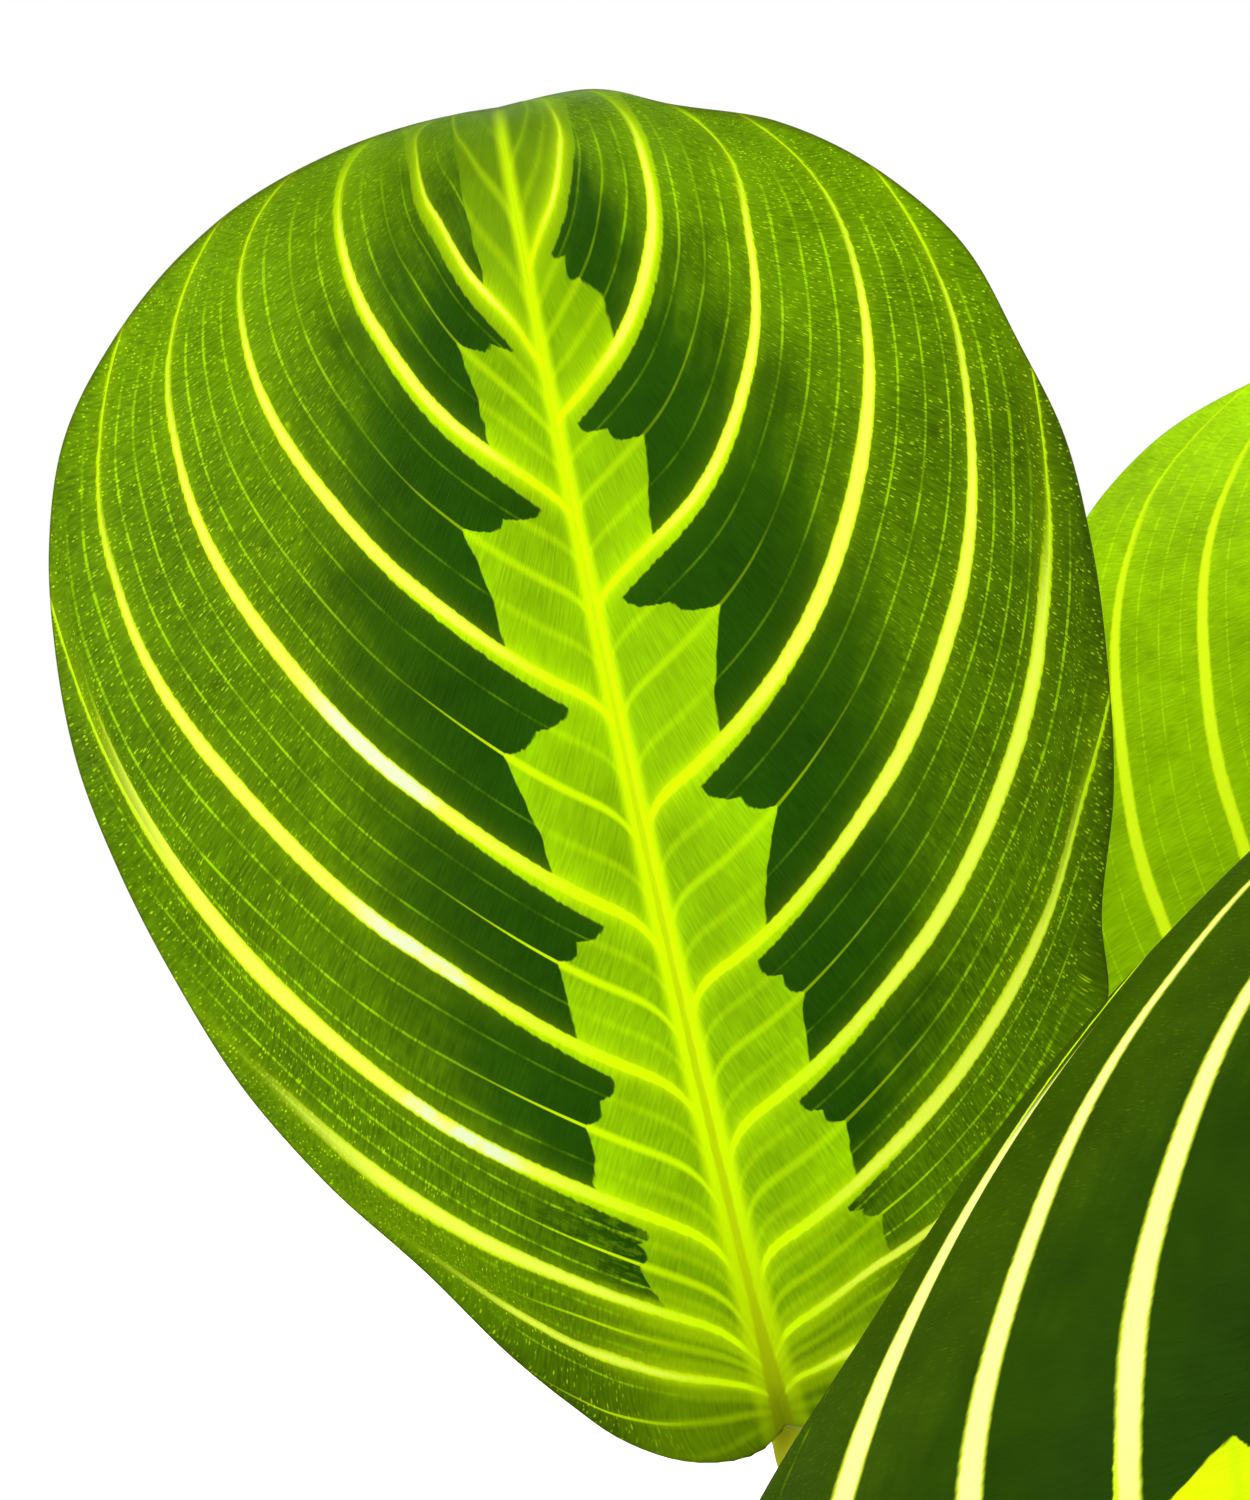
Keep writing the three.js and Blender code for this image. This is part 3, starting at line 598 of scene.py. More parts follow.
def pattern_maps(leaf, side, station, t, x, y):
    """Maps of one half: the vein count, shifted so that each main vein keeps its own small bends and swings
    down beside the midrib, and the measures of the blotch that lies between two main veins."""
    flat = np.stack([x, y], axis=-1)
    run = np.cumsum(np.linalg.norm(np.diff(flat, axis=1, prepend=flat[:, :1]), axis=-1), axis=1)
    count = vein_count(side, station)
    over = np.gradient(flat, axis=0) / np.maximum(np.gradient(count, axis=0), 1e-6)[..., None]
    along = np.gradient(flat, axis=1)
    along = along / np.maximum(np.linalg.norm(along, axis=-1, keepdims=True), 1e-9)
    gap = np.abs(over[..., 0] * along[..., 1] - over[..., 1] * along[..., 0])
    swing = ease(0.0, 0.03, station) * (0.35 + 0.65 * ease(0.9, 2.2, count)) * (1 - ease(0.9, 1.0, station))
    down = np.maximum(0.052 - 0.062 * station, 0.004) * np.exp(-110 * x) * swing
    shifted = count + (down + swerve(side, count, t)) / np.maximum(gap, 0.02)
    marks = BLOTCHES[side]
    numbers = FIRST_BLOTCH + np.arange(len(marks["tip"]))
    own = leaf["lobes"] + 0.10 * np.sin(leaf["phase"] * 3.1 + 2.2 * np.floor(shifted)) * (leaf["phase"] > 0)
    tip, notch, foot, far = [own * np.interp(shifted, numbers + at, marks[key])
                             for key, at in (("tip", 0.9), ("notch", 0.5), ("foot", 0.1), ("far", 0.5))]
    square = np.cumsum(np.sum(np.diff(flat, axis=0, prepend=flat[:1]) * along, axis=-1), axis=0)
    pairs = ((shifted, square), (SIDES[side] * x, y), (station, gap), (run, run[:, -1:] - run),
             (tip, notch * leaf["notches"]), (foot, far))
    return np.concatenate([np.stack(pair, axis=-1) for pair in pairs], axis=-1)


print("maps on a blade's corners:", MAPS)

# %% [markdown]
# A blade is closed: an upper face, a lower face and a thin rim between them. Each face has its own finish. At
# both ends of the midrib all lines meet in one point, so three-sided faces close the mesh there.

# %% Blade mesh
def cells(grid):
    """The four corners in turn of every cell of a grid of rows."""
    corners = np.stack([grid[:-1, :-1], grid[:-1, 1:], grid[1:, 1:], grid[1:, :-1]], axis=2)
    return corners.reshape(-1, 4, grid.shape[-1])


def blade_mesh(name, leaf, finishes):
    """Closed thin blade with an upper face, a lower face and a thin rim. A corner is held as one row: the
    number of its point and then the numbers of all maps."""
    stations = blade_rows(leaf["rows"])
    shares = np.linspace(0, 1, leaf["columns"]) ** 1.2
    rows, columns = len(stations), len(shares)
    s_grid, t_grid = np.meshgrid(stations, shares, indexing="ij")
    tops, numbers = {}, {}
    for side in SIDES:
        place, x, y = formed_point(leaf, side, s_grid, t_grid)
        place[0], place[-1] = place[0, 0], place[-1, 0]
        tops[side] = place
        numbers[side] = pattern_maps(leaf, side, s_grid, t_grid, x, y)
    whole = np.concatenate([tops["left"][:, :0:-1], tops["right"]], axis=1)
    normal = np.cross(np.gradient(whole, axis=1), np.gradient(whole, axis=0))
    normal[0], normal[-1] = normal[1].mean(axis=0), normal[-2].mean(axis=0)
    normal = unit(normal)
    taper = np.concatenate([shares[:0:-1], shares])
    half = BLADE_THICKNESS / 2 * (1 - 0.6 * taper ** 8)[None, :, None]
    points = np.concatenate([(whole + normal * half).reshape(-1, 3), (whole - normal * half).reshape(-1, 3)])
    width = 2 * columns - 1
    grid = np.arange(rows * width).reshape(rows, width)
    grid[0], grid[-1] = grid[0, columns - 1], grid[-1, columns - 1]
    quads, triangles, quad_slots, triangle_slots = [], [], [], []
    for side, sign in SIDES.items():
        outwards = columns - 1 + sign * np.arange(columns)
        upper = np.concatenate([grid[:, outwards, None], numbers[side]], axis=-1)
        lower = upper.copy()
        lower[..., 0] += rows * width
        for slot, own in enumerate((upper, lower)):
            four = cells(own[1:-1])
            three = np.concatenate([np.stack([own[0, :-1], own[1, 1:], own[1, :-1]], axis=1),
                                    np.stack([own[-2, :-1], own[-2, 1:], own[-1, :-1]], axis=1)])
            if (sign > 0) != (slot == 0):
                four, three = four[:, ::-1], three[:, ::-1]
            quads.append(four)
            triangles.append(three)
            quad_slots.append(np.full(len(four), slot))
            triangle_slots.append(np.full(len(three), slot))
        rim = cells(np.stack([upper[:, -1], lower[:, -1]], axis=1))
        quads.append(rim[:, ::sign])
        quad_slots.append(np.zeros(len(rim)))
    row = 1 + 2 * len(MAPS)
    corners = np.concatenate([np.concatenate(part).reshape(-1, row) for part in (quads, triangles)])
    used, fresh = np.unique(corners[:, 0].astype(int), return_inverse=True)
    fours, threes = np.split(fresh, [4 * sum(len(part) for part in quads)])
    maps = {key: corners[:, 2 * k + 1:2 * k + 3] for k, key in enumerate(MAPS)}
    return put_mesh(name, points[used] * MM, fours.reshape(-1, 4), threes.reshape(-1, 3), finishes, maps,
                    np.concatenate(quad_slots + triangle_slots))


print("rows of a plain blade:", FORM["rows"])

# %% [markdown]
# The pattern of a blade is one node group, because all blades wear it with their own colours. It reads the
# blade's maps. Every distance is in blade lengths, so a pattern keeps its size on a small blade. Main veins
# are where the vein count is a whole number. Between two of them lie three finer ones, the middle one
# stronger, and a comb of very fine cross streaks. A dark blotch starts with two lobes and a notch between
# them. The names in capitals are the colours that a blade is given. The others are masks, widths and
# strengths.

# %% Leaf pattern
LEAF_COLOURS = {
    "Lime": tint(146, 192, 0), "Dark": tint(33, 74, 0), "Outer": tint(84, 119, 0),
    "Vein": tint(244, 255, 90), "Vein edge": tint(214, 240, 0), "Glow": tint(222, 255, 0),
    "Midrib": tint(188, 204, 2), "Rim": tint(78, 98, 0),
}
SHARES = ("Blotches", "Texture", "Fine veins", "Vein width")
pattern = bpy.data.node_groups.new("leaf pattern", "ShaderNodeTree")
for key, value in {**LEAF_COLOURS, **dict.fromkeys(SHARES, 1.0)}.items():
    kind = "NodeSocketFloat" if key in SHARES else "NodeSocketColor"
    pattern.interface.new_socket(name=key, in_out="INPUT", socket_type=kind).default_value = value
RESULTS = {"Color": "NodeSocketColor", "Height": "NodeSocketFloat", "Roughness": "NodeSocketFloat"}
for key, kind in RESULTS.items():
    pattern.interface.new_socket(name=key, in_out="OUTPUT", socket_type=kind)
s = Sums(pattern)
entry, result = pattern.nodes.new("NodeGroupInput"), pattern.nodes.new("NodeGroupOutput").inputs
given = {socket.name: Value(s, socket) for socket in entry.outputs}
LIME, DARK, OUTER, VEIN, VEIN_EDGE, GLOW, MIDRIB, RIM = [given[key] for key in LEAF_COLOURS]
blotches, texture, fine_veins, vein_width = [given[key] for key in SHARES]
count, square = s.pair("veins")
flat_x, flat_y = s.pair("flat")
station, gap = s.pair("spacing")
run, left_over = s.pair("reach")
tip, notch = s.pair("lobe")
foot, far = s.pair("depth")
here = s.place(flat_x, flat_y)
off = abs(flat_x)
share = run / (run + left_over)
between = s.math("FRACT", count)
nearest = s.math("ROUND", count)
to_main = abs(count - nearest) * gap
print("inputs of a pattern:", list(given))

# %% [markdown]
# The main veins are pale bands that light comes through. They are thickest halfway out, thin and dull at the
# margin, and thinner near the base and the tip. A little noise frays their edges, and another one makes the
# comb of fine streaks that crosses the blade between them.

# %% Main veins
# Noises: soft clouds, patches, a grain for ragged edges and the comb across the veins.
cloud = s.noise(here, 13.0, 2.0, 0.5)
patch = s.noise(here, 42.0, 1.0, 0.5)
grain = s.noise(s.place(run * 240.0, count * 9.0), 1.0, 1.0) - 0.5
comb = s.noise(s.place(square * 430.0, count * 6.0), 1.0, 0.0) - 0.5

half_width = s.pick(s.ramp(share, 0.02, 0.36), 0.0036, 0.0062)
thinning = s.pick(s.ramp(nearest, 2.5, 3.5), s.ramp(share, 0.7, 1.0, 1.0, 0.4),
                  s.ramp(share, 0.42, 0.94, 1.0, 0.22))
half_width = half_width * (thinning * s.ramp(station, 0.45, 0.6, 1.0, 0.7))
half_width = half_width * vein_width * s.line(nearest, 0.6, 3.2, 0.5, 1.0)
half_width = half_width * s.ramp(station, 0.745, 0.775, 1.0, 0.52)
real_vein = s.ramp(count, 0.55, 0.75) * s.fall(station, 0.9, 0.93)
past_edge = to_main + grain * 0.0016 - half_width
soft = s.pick(fine_veins, 0.0019, 0.0007)
main = s.fall(past_edge, soft * -1.0, soft) * real_vein
inner = s.fall(past_edge, -0.0024, -0.0004)
glow = s.math("EXPONENT", s.math("MAXIMUM", past_edge, 0.0) * -210.0) * real_vein
print("nodes of the main veins:", len(pattern.nodes))

# %% [markdown]
# The dark blotches are drawn by their inner edge, as a distance from the midrib: the lower lobe, the notch at
# the middle vein, and the upper lobe, scalloped, that ends in a tip close to the midrib. Lime shows between
# that tip and the main vein. Outwards a blotch fades in streaks into the outer green.

# %% Blotches
low_edge = s.pick((between * 2.0) ** 1.5, foot, notch)
upward = s.line(between, 0.5, 0.9)
scallop = abs(s.math("SINE", upward * (2.0 * math.pi)))
high_edge = s.pick(upward, notch, tip) - scallop * 0.005
edge = s.pick(s.math("GREATER_THAN", between, 0.5), low_edge, high_edge)
edge = edge + (grain * 0.0034 + (patch - 0.5) * 0.005)
inside = s.ramp(off - edge, -0.0006, 0.0012)
fringe = half_width * 0.8 + s.line(off, 0.02, 0.15, 0.011, 0.0)
to_upper = (1.0 - between) * gap
blotch = inside * s.ramp(to_upper + grain * 0.003 - fringe, -0.0006, 0.0014)
low_leaf = s.ramp(count + (patch - 0.5) * 0.3, 1.95, 2.25)
beyond = s.pick(low_leaf, s.ramp(off, 0.045, 0.135), blotch)
ragged_y = flat_y + (patch - 0.5) * 0.05
at_tip = s.ramp(ragged_y, 0.885, 0.985, 0.0, 0.8)
beyond = s.math("MAXIMUM", beyond * s.ramp(station, 0.88, 0.92, 1.0, 0.3), at_tip)
streaks = s.noise(s.place(run * 16.0, count * 5.0), 1.0, 2.0, 0.6)
worn = run + (cloud - 0.5) * 0.07 + (streaks - 0.5) * 0.16
fade = s.fall(worn - far, -0.06, 0.075)
dark = blotch * fade * (s.ramp(count, 2.0, 2.3) * s.fall(station, 0.88, 0.93))
dark = dark * s.fall(ragged_y, 0.885, 0.945)
torn = s.noise(s.place(run * 70.0, count * 14.0), 1.0, 2.0, 0.6)
mottled = s.fall(count, 2.9, 3.1) * s.ramp(torn, 0.46, 0.58, 0.0, 0.7)
dark = dark * (1.0 - mottled) * blotches
print("nodes with the blotches:", len(pattern.nodes))

# %% [markdown]
# Between two main veins lie finer ones, which are dotted, and one in the middle that is brighter near the
# midrib. Small bright specks stand in crowds further out, where the blade is thin.

# %% Finer veins and specks
FINE = 4.0
fine_count = between * FINE
to_fine = abs(fine_count - s.math("ROUND", fine_count)) * (gap * (1.0 / FINE))
dotted = s.ramp(patch + comb * s.pick(dark, 0.9, 0.2), 0.32, 0.64, 0.25, 1.0)
fine = s.fall(to_fine, 0.0004, 0.0013) * dotted * s.ramp(left_over, 0.03, 0.125)
fine = fine * s.ramp(gap, 0.022, 0.055)
soft_fine = s.fall(to_fine, 0.0, 0.005)
to_middle = abs(between - 0.5) * gap
soft_middle = s.fall(to_middle, 0.0004, 0.0048)
middle_width = s.line(run - notch, 0.0, 0.1, 0.0015, 0.0004)
middle = s.fall(to_middle, middle_width * 0.5, middle_width * 1.2)
middle_share = s.ramp(flat_x, -0.002, 0.006, 1.0, 0.35) * s.ramp(flat_y, 0.46, 0.64, 1.0, 0.3)
specks_at = s.place(square * 330.0, count * 11.0)
from_speck, chance, size = s.cells(specks_at, 1.0, voronoi_dimensions="2D")
crowd = s.ramp(torn + patch * 0.5, 0.54, 0.84)
speck = s.fall(from_speck - size * 0.16, 0.02, 0.18) * s.ramp(chance, 0.25, 0.9, 0.0, 0.62) * crowd
speck = speck * ((beyond - dark) * s.ramp(share, 0.25, 0.6))
print("nodes with the finer veins:", len(pattern.nodes))

# %% [markdown]
# No green is even. Lime is strongest near the middle of the blade, and the outer green pales from the base to
# the tip. Main veins fade towards the margin, and on one stretch at the left a painted highlight whitens
# them.

# %% Strengths
lime_strength = s.line(count, 0.8, 3.4, 0.42, 1.0) * s.line(flat_y, 0.66, 0.94, 1.0, 0.58)
lime_strength = lime_strength * s.ramp(off, 0.035, 0.085, 0.95, 1.12)
right_side = s.ramp(flat_x, 0.16, 0.3)
in_middle = s.ramp(flat_y, 0.16, 0.3) * s.fall(flat_y, 0.62, 0.82)
outer_strength = s.pick(in_middle, s.line(flat_y, 0.05, 0.8, 1.0, 1.34), s.pick(right_side, 1.04, 0.8))
# On the middle of the right half the outer green is a little darker, and a painted shade darkens it further
# towards the margin.
painted_shade_at_margin = s.ramp(left_over, 0.0, 0.05, 0.7, 1.0)
outer_strength = outer_strength * s.pick(right_side * in_middle, 1.0, painted_shade_at_margin)
outer_strength = outer_strength * s.ramp(flat_y, 0.02, 0.14, 0.66, 1.0)
streaked = comb * texture * s.pick(beyond, 0.5, s.pick(dark, 0.95, 0.45))
weight = s.line(cloud, 0.3, 0.7, 0.86, 1.14) + streaked + (patch - 0.5) * 0.3
fan = (1.0 - beyond) * lime_strength
soft_middle = fan * soft_middle * middle_share
bright_middle = middle * beyond * s.ramp(run - notch, 0.02, 0.14, 0.85, 0.0) * middle_share
has_fine = s.ramp(fine_veins, 0.0, 0.4)
fading = s.ramp(share + s.line(nearest, 3.0, 5.0, 0.06, 0.0), 0.64, 0.95, 1.0, 0.05)
sudden = s.fall(share - s.line(nearest, 3.0, 4.0, 0.0, 0.05), 0.76, 0.87)
vein_strength = s.pick(has_fine, sudden, fading) * s.line(nearest, 0.5, 3.0, 0.8, 1.0)
vein_strength = vein_strength * s.ramp(left_over, 0.015, 0.115, 0.05, 1.0)
vein_strength = vein_strength * s.pick(has_fine, s.ramp(nearest, 2.2, 2.8), 1.0)
# A painted highlight: a whitish glint laid on the veins' cores on one stretch of the left half.
painted_glint = s.ramp(flat_x, -0.215, -0.185) * s.fall(flat_x, -0.15, -0.125)
painted_glint = painted_glint * s.fall(flat_y, 0.55, 0.62) * s.ramp(count, 2.6, 2.8)
painted_glint = painted_glint * s.ramp(cloud + patch * 0.4, 0.6, 0.7, 0.0, 0.85) * inner
vein_colour = s.coats(VEIN_EDGE, (inner * s.ramp(share, 0.04, 0.3), VEIN), (s.fall(share, 0.04, 0.22), GLOW),
                      (painted_glint * s.ramp(texture, 0.6, 0.9), tint(228, 236, 222)))
print("nodes with the strengths:", len(pattern.nodes))

# %% [markdown]
# The midrib is an olive core between two bright bands that narrow towards the tip, and a narrow darker margin
# rims the blade, wider at the tip. Then all colours are laid on in coats, from the ground up: outer green on
# lime, the blotches, all that is brighter, and last the midrib and the rim. Coats were chosen because each
# one needs only its own mask and colour, so one can be changed without the others.

# %% Midrib, rim and coats
near_base = s.fall(flat_y, 0.0, 0.1)
core_width = s.line(flat_y, 0.0, 1.0, 0.0036, 0.0006) + near_base * 0.0036
band_width = core_width + s.line(flat_y, 0.0, 0.8, 0.01, 0.0028)
band = s.fall(off - band_width, -0.0046, 0.0046)
core = s.fall(off - core_width + grain * 0.0022, -0.0016, 0.0012)
band = band * (s.ramp(flat_y, 0.93, 1.0, 0.95, 0.2) * s.ramp(flat_y, 0.0, 0.09, 0.45, 1.0))
rim = s.fall(left_over, 0.0, s.line(flat_y, 0.7, 1.0, 0.008, 0.03))

ground = s.coats(
    s.scaled(LIME, lime_strength),
    (beyond, s.scaled(OUTER, outer_strength)),
    (dark, DARK),
    (dark * s.ramp(run - notch, 0.02, 0.2, 0.0, 0.3), OUTER),
)
ground = s.coats(
    s.scaled(ground, weight),
    (glow * s.pick(beyond, 0.54, fine_veins * 0.08), GLOW),
    (fan * soft_fine * s.ramp(off, 0.09, 0.02, 0.1, 0.3), GLOW),
    (soft_middle * s.ramp(count, 1.0, 3.0, 0.35, 0.78), GLOW),
    (fine * beyond * fine_veins * s.pick(dark, 0.78, 0.17), s.scaled(LIME, 1.4)),
    (bright_middle * fine_veins, GLOW),
    (speck * texture, GLOW),
    (main * vein_strength, vein_colour),
    (band, s.scaled(GLOW, s.ramp(flat_y, 0.0, 0.25, 0.7, 1.0))),
    (core * s.line(flat_y, 0.0, 0.9, 0.92, 0.3), s.scaled(MIDRIB, s.ramp(flat_y, 0.0, 0.14, 0.62, 1.0))),
    (rim * 0.8, RIM),
)

# The height is that of the fine relief. The rim is dull, so that it doesn't gleam.
s.put(ground, result["Color"])
s.put(main * -0.5 + (comb * 0.6 + patch * 0.6) + core * -0.7, result["Height"])
roughness = 0.4 + (cloud * 0.12 + main * 0.05)
s.put(roughness + s.fall(left_over, 0.0, 0.006) * 0.5, result["Roughness"])
print("leaf pattern nodes:", len(pattern.nodes))

# %% [markdown]
# A blade needs two finishes. Its upper face carries the colours and most of the light comes through it. Its
# lower face is paler and duller. Light passes both faces on its way, so the lower one lets nearly white light
# through and the pattern is not laid on twice. The fine relief is a bump of a quarter of a millimetre at
# most.

# %% Leaf finishes
THROUGH = 0.70
UNDER_LIGHT = (0.93, 0.96, 0.80, 1.0)


def leaf_finish(name, changes, through=THROUGH, shine=0.10, clear_colour=None):
    """Material of one face of a blade: the pattern as the colour of a soft gloss and of the light let
    through."""
    finish, m = new_finish(name)
    colour, height, roughness = m.made("ShaderNodeGroup", changes, (0, 1, 2), node_tree=pattern)
    gloss = m.gloss({"Base Color": colour, "Roughness": roughness, "Specular IOR Level": shine},
                    (height, 0.55, 0.00025))
    glow = m.made("ShaderNodeBsdfTranslucent", {"Color": clear_colour or colour})
    m.surface(m.mixed(through, gloss, glow))
    return finish


FINISHES = {
    "plain": leaf_finish("blade upper", {}),
    # Leaf 2's copy of the pattern is lighter and has no blotches: painted light, the look of a leaf with
    # strong light behind it.
    "bright": leaf_finish("blade upper painted backlight", {
        "Outer": tint(142, 184, 0), "Lime": tint(176, 214, 0), "Rim": tint(146, 190, 0), "Blotches": 0.0,
        "Vein": tint(226, 250, 30), "Texture": 0.5, "Fine veins": 0.5}),
    # Leaf 3's copy has darker greens, which are painted shade; it also lets less light through, and its lime
    # and veins are paler.
    "deep": leaf_finish("blade upper painted shade", {
        "Outer": tint(50, 76, 0), "Dark": tint(31, 62, 0), "Vein": tint(252, 255, 150),
        "Lime": tint(205, 230, 0), "Vein edge": tint(226, 245, 60), "Glow": tint(200, 240, 0),
        "Rim": tint(72, 82, 4), "Texture": 0.1, "Fine veins": 0.0, "Vein width": 1.3}, 0.30, 0.02),
    "under": leaf_finish("blade lower", {
        "Lime": tint(150, 184, 70), "Dark": tint(96, 128, 66), "Outer": tint(122, 156, 70),
        "Vein": tint(196, 214, 110), "Vein edge": tint(190, 210, 96), "Glow": tint(180, 204, 90),
        "Midrib": tint(176, 190, 96), "Rim": tint(110, 134, 62), "Blotches": 0.6, "Texture": 0.5},
        clear_colour=UNDER_LIGHT),
}
print("leaf finishes:", list(FINISHES))

# %% [markdown]
# The leaves stand in all directions, as on a full pot. Each one is given by the point where its stalk meets
# it, the way to its tip, the way its face looks, and its form. The first three are the leaves that the
# picture shows. The others are rows of the same numbers: the tip's heading, counted from +X towards +Y, and
# its rise in degrees.

# %% Leaves
STEMS = [
    ((-20, 2), (-27, 6, 136)), ((-12, -20), (-20, -34, 128)), ((14, -18), (22, -26, 138)), ((24, 4),
    (32, 4, 160)), ((12, 24), (18, 32, 138)), ((-14, 22), (-20, 32, 132)), ((12, 42), (26, 60, 142)),
]
SHOWN_LEAVES = [
    dict(stem=0, at=1, base=(-29.8, 6.2, 159.3), tip=(-0.212, 0.051, 0.976), face=(0, -0.9986, 0.052),
         length=135, width=1.015, fold=8, bow=20, droop=0, curl=75, wave=1.5, waves=2.5, joint=(1, 0.25),
         rows=250, columns=70),
    dict(stem=4, at=1, base=(14.7, 46, 151.2), tip=(0.406, 0.093, 0.909), face=(-0.356, -0.9, 0.251),
         length=125, fold=10, bow=20, droop=-10, curl=30, wave=2, joint=(1, 0.25), rows=150, columns=44,
         finish="bright"),
    dict(stem=1, at=1, base=(-39, -89.6, 122.4), tip=(0.664, 0.102, 0.741), face=(-0.434, -0.754, 0.493),
         length=135, fold=18.6, bow=58, droop=-8, curl=30, wave=0.5, joint=(0.15, 1), rows=180, columns=56,
         finish="deep", lobes=1.35, notches=0.76),
]
FURTHER_LEAVES = [  # stem, how far up it, base, heading, rise, length, droop
    (0, 0.62, (-58, -6, 126), 188, 10, 112, 54), (1, 0.6, (-56, -42, 120), 228, 6, 98, 54),
    (2, 0.55, (14, -56, 121), 284, 2, 98, 52), (2, 0.75, (46, -42, 127), 322, 12, 108, 54),
    (3, 0.4, (60, 0, 126), 3, 8, 104, 52), (4, 0.6, (44, 44, 127), 46, 10, 108, 54),
    (5, 0.6, (0, 62, 124), 92, 8, 104, 52), (5, 0.9, (-46, 42, 124), 140, 4, 108, 48),
    (2, 1, (54, -30, 160), 334, 30, 122, 50), (3, 0.7, (68, 12, 166), 14, 34, 125, 48),
    (6, 0.8, (46, 74, 160), 52, 28, 118, 48), (5, 1, (-4, 64, 152), 98, 16, 112, 44),
    (1, 0.85, (-52, -30, 148), 214, 8, 100, 38), (0, 0.8, (-54, 20, 132), 166, 6, 104, 36),
    (3, 1, (60, -6, 194), 354, 60, 112, 24), (6, 1, (80, 66, 178), 22, 58, 112, 34),
    (5, 0.75, (-20, 56, 172), 118, 34, 100, 46), (2, 0.9, (50, -46, 142), 314, 16, 90, 44),
]


def toward(heading, rise):
    """Direction of a heading and a rise."""
    h, r = math.radians(heading), math.radians(rise)
    return math.cos(h) * math.cos(r), math.sin(h) * math.cos(r), math.sin(r)


LEAVES = SHOWN_LEAVES + [
    dict(stem=stem, at=at, base=base, tip=toward(heading, rise), length=length, droop=droop)
    for stem, at, base, heading, rise, length, droop in FURTHER_LEAVES
]
# One tall leaf at the back shows its face to the front.
LEAVES[17].update(tip=(0.5, -0.05, 0.86), face=(-0.3, -0.8, 0.2))
LEAVES = [{**FORM, "face": (0.0, 0.0, 1.0), "joint": (0.6, 0.8), "phase": 1.7 * i, "finish": "plain", **leaf}
          for i, leaf in enumerate(LEAVES)]
for number, leaf in enumerate(LEAVES, 1):
    node = f"leaf_{number:02d}"
    piece = blade_mesh(f"blade_{number:02d}", leaf, [FINISHES[leaf["finish"]], FINISHES["under"]])
    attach(piece, "root")
    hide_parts(node)

# %% [markdown]
# A stalk is a smooth tube: a sheath that clasps the stem, a thin middle, and a swollen joint under the blade,
# which is what lets the real plant fold its leaves at night. A tube is a ring carried along a path. Its rings
# are turned by one fixed direction across the path, because the paths hardly twist.

# %% Tubes and paths
SOIL_TOP = 99.0
STEM = {"foot": 2.8, "top": 1.9, "bury": 26.0, "collar": 5.0, "zigzag": 1.6, "joints": 5, "knuckle": 0.28}
STALK = {
    "sheath": 2.1, "middle": 1.15, "joint": 1.6, "joint_length": 8.5, "end": 1.05, "lap": 3.2, "below": 0.35,
    "rises": 0.42, "arrives": 0.36,
}
CAP_RISE, CAP_SHRINK = np.array([0.45, 0.85]), np.array([0.86, 0.45])


def tube(path, radius, around):
    """Closed tube of rings across a path of points, with a radius for each point; its ends are rounded in by
    two small rings each."""
    direction = unit(np.gradient(path, axis=0))
    across = np.cross(path[-1] - path[0], path[len(path) // 2] - path[0])
    if np.linalg.norm(across) < 1e-6 * np.linalg.norm(path[-1] - path[0]) ** 2:
        across = np.cross(path[-1] - path[0], (0.31, 0.95, 0.02))
    one = unit(np.cross(direction, unit(across)))
    two = np.cross(direction, one)
    cos, sin = circle(around)
    spokes = cos[None, :, None] * one[:, None] + sin[None, :, None] * two[:, None]
    body = path[:, None] + spokes * radius[:, None, None]
    caps = []
    for end, sign in ((0, -1), (-1, 1)):
        cap = path[end] + sign * (CAP_RISE * radius[end])[:, None, None] * direction[end]
        caps.append((cap + (CAP_SHRINK * radius[end])[:, None, None] * spokes[end])[::sign])
    return np.concatenate([caps[0], body, caps[1]])


print("rings of a cap:", len(CAP_RISE), "at each end")

# %% [markdown]
# A stem rises straight out of the soil and then turns a little at each leaf, first one way and then the
# other. A stalk leaves it upwards and ends under the blade, along the way that the blade's midrib takes. Both
# ends of the stalk have a given direction, so a cubic curve fits it.

# %% Stem and stalk paths
def stem_points(root, top):
    """The stem's knots: straight out of the soil, then a slight zigzag to the tip."""
    foot = np.array([*root, SOIL_TOP])
    collar = foot + (0, 0, STEM["collar"])
    tip = np.array(top, float)
    side = unit(np.cross(tip - collar, (0, 0, 1)))
    buried = [foot - (0, 0, depth) for depth in (STEM["bury"], 10.0, 0.0)]
    between = [collar + (tip - collar) * (k + 1) / 3 + side * STEM["zigzag"] * way
               for k, way in enumerate((1, -1))]
    return np.array(buried + [collar] + between + [tip])


def stalk_path(leaf, count):
    """A cubic curve that leaves the stem upwards and meets the blade's base along the blade's own direction.
    Its end lies just under the midrib's first millimetres."""
    above = smooth_curve(stem_points(*STEMS[leaf["stem"]])[2:], 0.5, 401)
    start = above[int(round(leaf["at"] * 400))]
    right, along, out = blade_axes(leaf)
    arrive = unit(along * leaf["joint"][0] + out * leaf["joint"][1])
    slope = arrive @ along
    end = (np.asarray(leaf["base"], float) + along * STALK["lap"] * slope
           - out * (STALK["below"] + STALK["joint"] * slope))
    gap = np.linalg.norm(end - start)
    t = np.linspace(0, 1, count)[:, None]
    return bezier(start, start + (0, 0, gap * STALK["rises"]), end - arrive * gap * STALK["arrives"], end, t)


